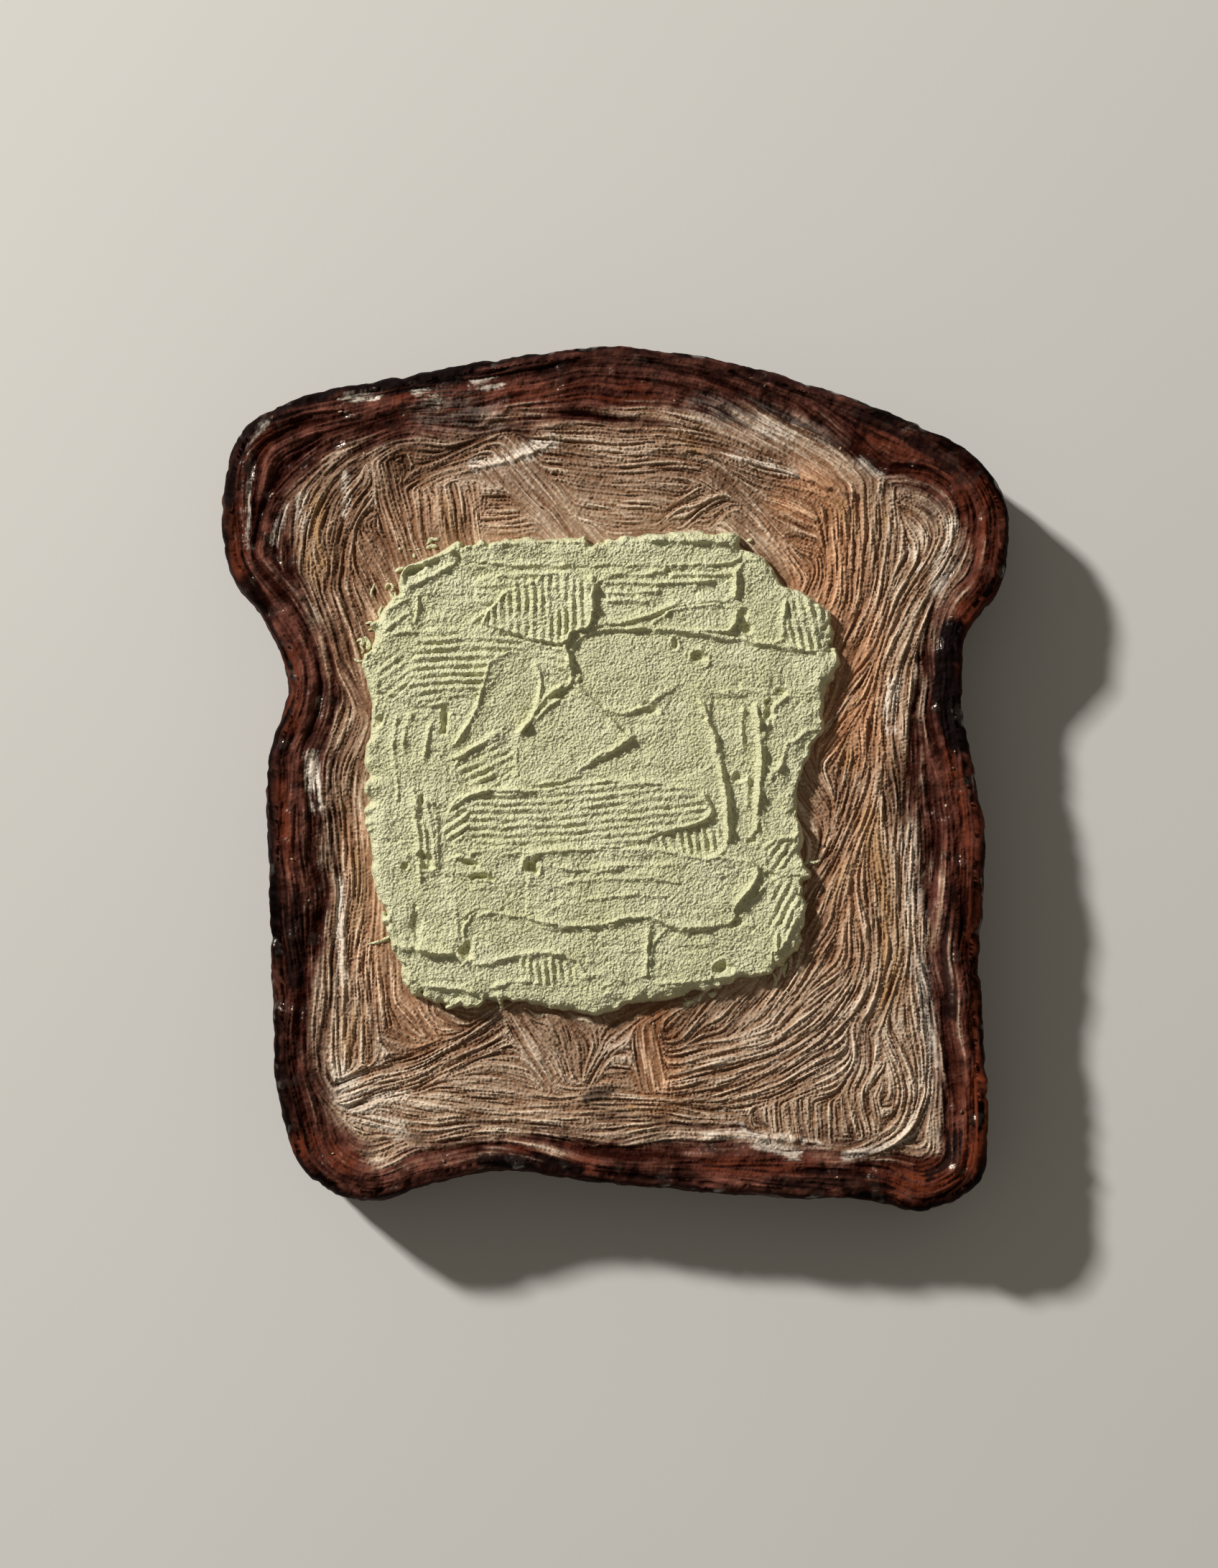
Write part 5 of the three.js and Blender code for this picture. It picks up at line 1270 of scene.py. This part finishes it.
def crumb_quarters():
    """The toasted face inside the crust: one sheet, cut in four."""
    seam_inside = inside_distance(seam_line[::4], *FIELD)

    def field(x, y):
        """Above nought inside the seam, except well under the butter."""
        return np.minimum(on_grid(seam_inside, x, y), CRUMB_LAP - on_grid(FACE_GRIDS[2], x, y))

    x, y, triangles = clipped_sheet(seam_line.min(axis=0) - 1, seam_line.max(axis=0) + 1, CRUMB_STEP, field)
    height, masks = face_relief(x, y)
    top = np.column_stack([x, y, THICKNESS + height])
    normals = sheet_normals(top, triangles)
    right, upper = (side[triangles].mean(axis=1) > split for side, split in zip((x, y), CRUMB_SPLIT))
    for name, chosen in (
        ("upper_right", right & upper), ("upper_left", ~right & upper),
        ("lower_left", ~right & ~upper), ("lower_right", right & ~upper),
    ):
        crumb_quarter("crumb_" + name, top, normals, whole_part(triangles[chosen], len(x)), masks)


crumb_quarters()


# ---- The butter ----

def knife_work(x, y):
    """Height of the spread above the crumb: flats, then ridges, serrations, pits and grain."""
    waver = lumps(x, y, 2.2, 3) * 0.22 + lumps(x, y, 0.9, 4) * 0.14
    drift = lumps(x, y, 2.0, 5) * 0.22 + lumps(x, y, 0.8, 6) * 0.14
    wx, wy = x + waver, y + drift
    height = np.full(x.shape, BUTTER_LEVEL)
    for level, slope_x, slope_y, soft, points in FACETS:
        outline = rounded(points)
        pick = near_box(outline, 1.5, x, y)
        px, py = x[pick], y[pick]
        middle = outline.mean(axis=0)
        soft *= STEP_SOFTNESS
        reach = inside_distance(outline, wx[pick], wy[pick])
        flat = level - BUTTER_LEVEL + slope_x * (px - middle[0]) + slope_y * (py - middle[1])
        height[pick] += (BUTTER_LEVEL + STEP_HEIGHT * flat - height[pick]) * smoothstep(-soft, soft, reach)
        burr = np.clip(0.5 + 0.8 * lumps(px, py, 2.4, 12) + 0.5 * lumps(px, py, 0.9, 13), 0, 1.3)
        height[pick] += LIP_HEIGHT * burr * min(1, 0.2 / soft) * np.exp(-(((reach - 0.12) / 0.22) ** 2))
    for rise, left, right, points in RIDGES:
        line = drawn_line(points)
        pick = near_box(line, 3.5 * max(left, right), x, y)
        px, py = x[pick], y[pick]
        distance, _, run, _, total = along(line, px + waver[pick] * 0.7, py + waver[pick] * 0.5)
        width = np.maximum(np.where(distance > 0, left, right), FINEST_RIDGE)
        ends = smoothstep(0, 0.08, run / total) * smoothstep(0, 0.08, 1 - run / total)
        rise *= RIDGE_HEIGHT
        broken = np.clip(1.05 + 0.6 * lumps(px, py, 1.7, 11) + 0.35 * lumps(px, py, 0.6, 19), 0.25, 1.8)
        height[pick] += rise * broken * np.exp(-np.abs(distance / width) ** 1.3) * ends
    for pitch, depth, turn, bend, fade, middle, points in COMBS:
        outline = rounded(points)
        pick = near_box(outline, 1.5, x, y)
        px, py = x[pick], y[pick]
        u, v = turned_frame(px, py, middle, turn)
        phase = (v - bend * u * u + 0.2 * lumps(px, py, 3, 21) + 0.08 * lumps(px, py, 0.9, 22)) / pitch
        wave = np.abs((phase % 1.0) * 2 - 1) ** 0.9 - 0.5
        share = smoothstep(-fade * 0.5, fade, inside_distance(outline, wx[pick], wy[pick]))
        worn = np.clip(0.85 + 0.7 * lumps(px, py, 2.6, 23) + 0.6 * lumps(px, py, 1.0, 24), 0.1, 1.7)
        height[pick] += COMB_DEPTH * depth * wave * share * worn
    for *middle, long, short, turn, depth, rim in PITS:
        pick = near_box([middle], 3 * max(long, short), x, y)
        px, py = x[pick], y[pick]
        u, v = turned_frame(px, py, middle, turn)
        reach = np.hypot(u / long, v / short) * (1 + 0.5 * lumps(px, py, 0.9, 31))
        hollow = PIT_DEPTH * depth * (1 - smoothstep(0.45, 1.15, reach))
        height[pick] += rim * np.exp(-(((reach - 1.35) / 0.3) ** 2)) * (0.5 + lumps(px, py, 1.1, 32)) - hollow
    upright = smoothstep(21, 26, np.abs(x + 5) + 1.5 * lumps(x, y, 4, 53))
    smear = upright * lumps(x / 0.7, y / 5, 1, 54) + (1 - upright) * lumps(x / 6, y / 0.7, 1, 55)
    smear *= smoothstep(-0.3, 0.6, lumps(x, y, 6, 57))
    sand = SAND_HEIGHT * grit(x, y, 0.165, 101) + 0.04 * grit(x, y, 0.6, 105)
    torn = smoothstep(0.5, 0.8, lumps(x + 0.9 * y, y - 0.9 * x, 1.2, 16))
    torn *= smoothstep(0.1, 0.5, lumps(x, y, 5, 17))
    return height + SMEAR_HEIGHT * smear + MOUND_HEIGHT * grit(x, y, 2.2, 110) + sand - TEAR_DEPTH * torn


def butter_edge(x, y):
    """Distance in from the ragged edge of the spread."""
    wx, wy = x + 0.5 * lumps(x, y, 1.9, 41), y + 0.5 * lumps(x, y, 1.7, 42)
    ragged = 0.35 + 1.1 * smoothstep(-0.4, 0.5, lumps(x, y, 8, 51))
    bites = 0.40 * lumps(x, y, 0.9, 43) + 0.14 * lumps(x, y, 0.45, 46)
    return inside_distance(butter_line, wx, wy) + ragged * bites


def butter_heights(x, y):
    """Height of the whole spread, thinned and rounded off at its ragged edge."""
    inset = np.maximum(butter_edge(x, y), 0)
    weights, thickness, rounding = np.zeros((3, *x.shape))
    for px, py, thick, wide in EDGE_SHAPE:
        weight = 1 / ((x - px) ** 2 + (y - py) ** 2 + 4) ** 2
        weights += weight
        thickness += weight * thick
        rounding += weight * wide
    thickness = EDGE_SHARE * thickness / weights * (1 + 0.25 * lumps(x, y, 1.8, 44))
    rounding /= weights
    full = knife_work(x, y)
    spread = 0.4 + rounding * np.maximum(full - thickness, 0) * (1 + 0.3 * lumps(x, y, 3, 58))
    rise = np.sqrt(1 - (1 - np.clip(inset / spread, 0, 1)) ** 2)
    crest = np.maximum(0, 0.3 + lumps(x, y, 1.5, 47) + 0.6 * lumps(x, y, 0.6, 48))
    crest = np.exp(-(((inset - 0.3) / 0.35) ** 2)) * crest
    roll = np.exp(-(((inset - 1.1) / 1.0) ** 2)) * (lumps(x, y, 2.4, 49) + 0.6 * lumps(x, y, 1.0, 50))
    height = thickness + (full - thickness) * rise + 0.5 * crest + 0.22 * roll
    return np.clip(height, THINNEST_BUTTER, BUTTER_TOP)


def butter_half(name, top, normals, triangles, rim):
    """One half of the spread: its top, an overhanging edge, and a foot sunk in the crumb."""
    used, triangles = own_points(triangles)
    top, normals, rim = top[used], normals[used], rim[used]
    outer = np.array(boundary_loops(triangles)[0])
    ring, rim = top[outer], rim[outer]
    x, y, z = ring.T
    flat = ring[:, :2]
    ahead, behind = np.roll(flat, -4, axis=0), np.roll(flat, 4, axis=0)
    tangent = (ahead - behind) / np.maximum(np.hypot(*(ahead - behind).T), 1e-6)[:, None]
    away = np.stack([tangent[:, 1], -tangent[:, 0]], axis=1)
    crumb = THICKNESS + face_relief(x, y)[0]
    slumped = sum(np.roll(flat, k, axis=0) for k in range(-7, 8)) / 15 - flat
    slumped *= (smoothstep(0.5, 2.5, np.abs(y - BUTTER_SEAM)) * rim)[:, None]
    points, parts = [top], [triangles]
    upper, count = outer, len(top)
    for step, (share, shift) in enumerate(EDGE_STEPS):
        dents = 0.11 * lumps(x, y, 1.5, 120 + step) + 0.04 * lumps(x, y, 0.6, 130 + step)
        bulge = (shift + dents) * rim
        level = crumb * (1 - share) + z * share - (BUTTER_SINK if share == 0 else 0)
        points.append(np.column_stack([flat + slumped * (1 - share) ** 0.5 + away * bulge[:, None], level]))
        now = np.arange(count, count + len(ring))
        parts.append(ring_strip(now, upper))
        upper, count = now, count + len(ring)
    points = np.vstack(points)
    parts.append(filled(points, list(upper))[:, ::-1])
    depth = np.maximum(points[:, 2] - THICKNESS, THIN_LOOK)
    piece = make_piece(name, points, np.vstack(parts), butter, {"depth": depth})
    smooth_top(piece, normals)
    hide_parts("butter")


def butter_spread():
    """The spread: one sheet, cut in two halves."""
    low, high = butter_line.min(axis=0) - 2, butter_line.max(axis=0) + 2
    x, y, triangles = clipped_sheet(low, high, BUTTER_STEP, butter_edge)
    triangles = whole_part(triangles, len(x))
    top = np.column_stack([x, y, THICKNESS + butter_heights(x, y)])
    normals = sheet_normals(top, triangles)
    rim = np.zeros(len(x))
    rim[np.concatenate(boundary_loops(triangles))] = 1
    upper = y[triangles].mean(axis=1) > BUTTER_SEAM
    for name, half in (("butter_upper", triangles[upper]), ("butter_lower", triangles[~upper])):
        butter_half(name, top, normals, whole_part(half, len(x)), rim)


butter_spread()


def scrap_piece():
    """Small curls and dabs of butter that lie on the crumb round the spread."""
    stations, around = 14, 12
    share = np.linspace(0, 1, stations)
    turn = np.arange(around) * 2 * math.pi / around
    cosine, sine = np.cos(turn), np.sin(turn)
    points, triangles, count = [], [], 0
    for width, tall, corners in SCRAPS:
        line = drawn_line(corners)
        run = np.concatenate([[0], np.cumsum(np.hypot(*np.diff(line, axis=0).T))])
        x, y = (np.interp(share * run[-1], run, line[:, axis]) for axis in (0, 1))
        along_x, along_y = np.gradient(x), np.gradient(y)
        across = np.stack([-along_y, along_x], axis=1) / np.hypot(along_x, along_y)[:, None]
        plump = np.sin(math.pi * (0.06 + 0.88 * share)) ** 0.5 * (1 + 0.4 * lumps(x, y, 0.6, 60))
        ground = THICKNESS + face_relief(x, y)[0].mean()
        uneven = 1 + 0.35 * lumps(x[:, None] + cosine, y[:, None] + sine, 0.7, 61)
        reach = (width / 2 * plump)[:, None] * cosine * uneven
        high = ground + (tall * plump)[:, None] * (0.30 + 0.55 * sine * uneven)
        flat = np.stack([x, y], axis=1)[:, None] + across[:, None] * reach[:, :, None]
        rings = np.concatenate([flat, high[:, :, None]], axis=2)
        rows = [np.arange(around) + count + 1 + k * around for k in range(stations)]
        points.append(np.vstack([rings[0].mean(axis=0), rings.reshape(-1, 3), rings[-1].mean(axis=0)]))
        last = count + len(points[-1]) - 1
        triangles.append(np.stack([np.roll(rows[0], -1), rows[0], np.full(around, count)], axis=1))
        triangles += [ring_strip(near, far) for near, far in zip(rows, rows[1:])]
        triangles.append(np.stack([rows[-1], np.roll(rows[-1], -1), np.full(around, last)], axis=1))
        count = last + 1
    return np.vstack(points), np.vstack(triangles)


points, triangles = scrap_piece()
make_piece("butter_scraps", points, triangles, butter, {"depth": np.ones(len(points))})


# ---- Loose crumbs, scattered over the toasted face ----

CRUMB_SIZE = 0.55  # usual width of a loose crumb
CRUMBS_PER_SQUARE = 0.008  # loose crumbs on each square millimetre
CRUMB_SEED = 7
CRUMB_RIM_GAP = 2.5  # from the brim of the slice
CRUMB_BUTTER_GAP = 0.8  # from the spread
CRUMB_RISE = 0.02  # the crumbs' middles lie this far above the toast
FACE_COPY_STEP = 1.1  # spacing of the points on the surface that they are scattered over


def crumb_scatter_tree(material):
    """Random crumbs on the faces of a surface, as one plain mesh."""
    tree = bpy.data.node_groups.new("loose crumbs", "GeometryNodeTree")
    add_socket = tree.interface.new_socket
    add_socket("Surface", in_out="INPUT", socket_type="NodeSocketGeometry")
    sockets = {}
    for label, kind in (("Density", "Float"), ("Crumb Width", "Float"), ("Seed", "Int")):
        sockets[label] = add_socket(label, in_out="INPUT", socket_type="NodeSocket" + kind).identifier
    add_socket("Crumbs", in_out="OUTPUT", socket_type="NodeSocketGeometry")
    given, result = tree.nodes.new("NodeGroupInput"), tree.nodes.new("NodeGroupOutput")

    def node(kind, **links):
        """A new node with these sockets linked by name."""
        made = tree.nodes.new(kind)
        for label, source in links.items():
            tree.links.new(source, made.inputs[label.replace("_", " ")])
        return made

    ball = node("GeometryNodeMeshIcoSphere", Radius=given.outputs["Crumb Width"])
    ball.inputs["Subdivisions"].default_value = 2
    where = node("GeometryNodeInputPosition")
    bumpy = node("ShaderNodeTexNoise", Vector=where.outputs["Position"])
    bumpy.inputs["Scale"].default_value = 2600.0
    centred = node("ShaderNodeVectorMath")
    centred.operation = "SUBTRACT"
    centred.inputs[1].default_value = (0.5, 0.5, 0.5)
    tree.links.new(bumpy.outputs["Color"], centred.inputs[0])
    pushed = node("ShaderNodeVectorMath")
    pushed.operation = "SCALE"
    tree.links.new(centred.outputs["Vector"], pushed.inputs[0])
    tree.links.new(given.outputs["Crumb Width"], pushed.inputs["Scale"])
    lump = node("GeometryNodeSetPosition", Geometry=ball.outputs["Mesh"], Offset=pushed.outputs["Vector"])
    spots = node("GeometryNodeDistributePointsOnFaces", Mesh=given.outputs["Surface"])
    tree.links.new(given.outputs["Density"], spots.inputs["Density"])
    tree.links.new(given.outputs["Seed"], spots.inputs["Seed"])

    def chance(low, high, seed):
        """Random values between two ends, one for each crumb."""
        made = node("FunctionNodeRandomValue")
        made.data_type = "FLOAT_VECTOR"
        made.inputs[0].default_value, made.inputs[1].default_value = low, high
        made.inputs["Seed"].default_value = seed
        return made.outputs[0]

    crumb, places = lump.outputs["Geometry"], spots.outputs["Points"]
    placed = node("GeometryNodeInstanceOnPoints", Points=places, Instance=crumb)
    tree.links.new(chance((0, 0, 0), (6.28, 6.28, 6.28), 3), placed.inputs["Rotation"])
    tree.links.new(chance((0.25, 0.2, 0.15), (0.75, 0.6, 0.45), 4), placed.inputs["Scale"])
    plain = node("GeometryNodeRealizeInstances", Geometry=placed.outputs["Instances"])
    dressed = node("GeometryNodeSetMaterial", Geometry=plain.outputs["Geometry"])
    dressed.inputs["Material"].default_value = material
    tree.links.new(dressed.outputs["Geometry"], result.inputs["Crumbs"])
    return tree, sockets


def loose_crumbs(material):
    """Crumbs lie on a coarse copy of the toasted face, clear of the butter."""

    def field(x, y):
        """Above nought where crumbs may lie."""
        inside_seam = inside_distance(seam_line[::6], x, y) + SEAM - CRUMB_RIM_GAP
        return np.minimum(inside_seam, -CRUMB_BUTTER_GAP - inside_distance(butter_line, x, y))

    low, high = seam_line.min(axis=0) - 6, seam_line.max(axis=0) + 6
    x, y, triangles = clipped_sheet(low, high, FACE_COPY_STEP, field)
    height = THICKNESS + face_relief(x, y)[0]
    placed = (np.column_stack([x, y, height]) - [SHIFT[0], SHIFT[1], -CRUMB_RISE]) * MM
    mesh = bpy.data.meshes.new("face copy")
    mesh.from_pydata(placed, [], triangles)
    surface = bpy.data.objects.new("face copy", mesh)
    bpy.context.scene.collection.objects.link(surface)
    tree, sockets = crumb_scatter_tree(material)
    scatter = surface.modifiers.new("loose crumbs", "NODES")
    scatter.node_group = tree
    scatter[sockets["Density"]] = CRUMBS_PER_SQUARE / MM**2
    scatter[sockets["Crumb Width"]] = CRUMB_SIZE * MM
    scatter[sockets["Seed"]] = CRUMB_SEED
    evaluated = surface.evaluated_get(bpy.context.evaluated_depsgraph_get())
    crumbs = bpy.data.meshes.new_from_object(evaluated)
    surface.modifiers.remove(scatter)
    bpy.data.objects.remove(surface)
    crumbs.name = "loose_crumbs"
    crumbs.shade_smooth()
    piece = bpy.data.objects.new("loose_crumbs", crumbs)
    bpy.context.scene.collection.objects.link(piece)
    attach(piece, "root")


def crumb_material(speckle):
    """Dry brown crumbs."""
    material, tree, shader, position = started_material("dry crumbs")
    grains = placed_group(tree, speckle, position, Scale=1800.0, Coarse_Share=0.3)
    tints = noise_node(tree, position, 260.0, 2.0)
    colour = mix_colour(tree, ranged(tree, tints, 0.35, 0.65), (0.120, 0.055, 0.030), (0.520, 0.360, 0.230))
    colour = mix_colour(tree, times(tree, grains.outputs["Dots"], 0.5), colour, (0.62, 0.46, 0.32))
    tree.links.new(colour, shader.inputs["Base Color"])
    tree.links.new(ranged(tree, grains.outputs["Height"], 0.3, 0.7, 0.8, 0.6), shader.inputs["Roughness"])
    bumped(tree, shader, grains.outputs["Height"], 0.0002)
    return material


loose_crumbs(crumb_material(speckle))


# ---- Floor, light and camera ----

CAMERA_LENS = 72.53  # millimetres
CAMERA_PLACE = (-12.14, -20.6, 456.0)
CAMERA_FORWARD, CAMERA_UP = (0.02345, 0.04453, -0.99873), (0.0127, 0.99892, 0.04483)


def stage_floor():
    """A wide, pale table under the slice."""
    bpy.ops.mesh.primitive_plane_add(size=6, location=(0, 0, 0))
    floor = bpy.context.object
    floor.name = "table"
    material, tree, shader, position = started_material("pale table")
    shade = noise_node(tree, position, 9.0, 2.0)
    colour = mix_colour(tree, shade, (0.70, 0.68, 0.64), (0.73, 0.71, 0.67))
    tree.links.new(colour, shader.inputs["Base Color"])
    shader.inputs["Roughness"].default_value = 0.8
    floor.data.materials.append(material)


def lamp(name, azimuth, elevation, distance, size, power, colour):
    """A square soft light that looks at the slice."""
    data = bpy.data.lights.new(name, "AREA")
    data.shape = "SQUARE"
    data.size = size
    data.energy = power
    data.color = colour
    light = bpy.data.objects.new(name, data)
    turn, rise = math.radians(azimuth), math.radians(elevation)
    level = math.cos(rise)
    place = Vector((level * math.cos(turn), level * math.sin(turn), math.sin(rise))) * distance
    light.location = place
    light.rotation_euler = (-place).to_track_quat("-Z", "Y").to_euler()
    bpy.context.scene.collection.objects.link(light)


def set_light():
    """One small key lamp from the upper left and a dim, warm sky."""
    lamp("key", azimuth=140, elevation=31, distance=1.5, size=0.12, power=27.5, colour=(1.0, 0.985, 0.955))
    world = bpy.data.worlds.new("studio")
    world.use_nodes = True
    sky = world.node_tree.nodes["Background"]
    sky.inputs["Color"].default_value = (1.0, 0.93, 0.80, 1.0)
    sky.inputs["Strength"].default_value = 0.15
    bpy.context.scene.world = world
    bpy.context.scene.view_settings.view_transform = "Standard"


def set_camera():
    """Looks straight down from above the middle of the face, a little from its lower left."""
    data = bpy.data.cameras.new("camera")
    data.sensor_fit = "VERTICAL"
    data.sensor_height = 36.0
    data.lens = CAMERA_LENS
    forward, up = Vector(CAMERA_FORWARD).normalized(), Vector(CAMERA_UP)
    right = forward.cross(up).normalized()
    up = right.cross(forward)
    place = Vector((CAMERA_PLACE[0] - SHIFT[0], CAMERA_PLACE[1] - SHIFT[1], CAMERA_PLACE[2])) * MM
    camera = bpy.data.objects.new("camera", data)
    camera.matrix_world = Matrix((
        (right.x, up.x, -forward.x, place.x),
        (right.y, up.y, -forward.y, place.y),
        (right.z, up.z, -forward.z, place.z),
        (0, 0, 0, 1),
    ))
    bpy.context.scene.collection.objects.link(camera)
    bpy.context.scene.camera = camera


stage_floor()
set_light()
set_camera()
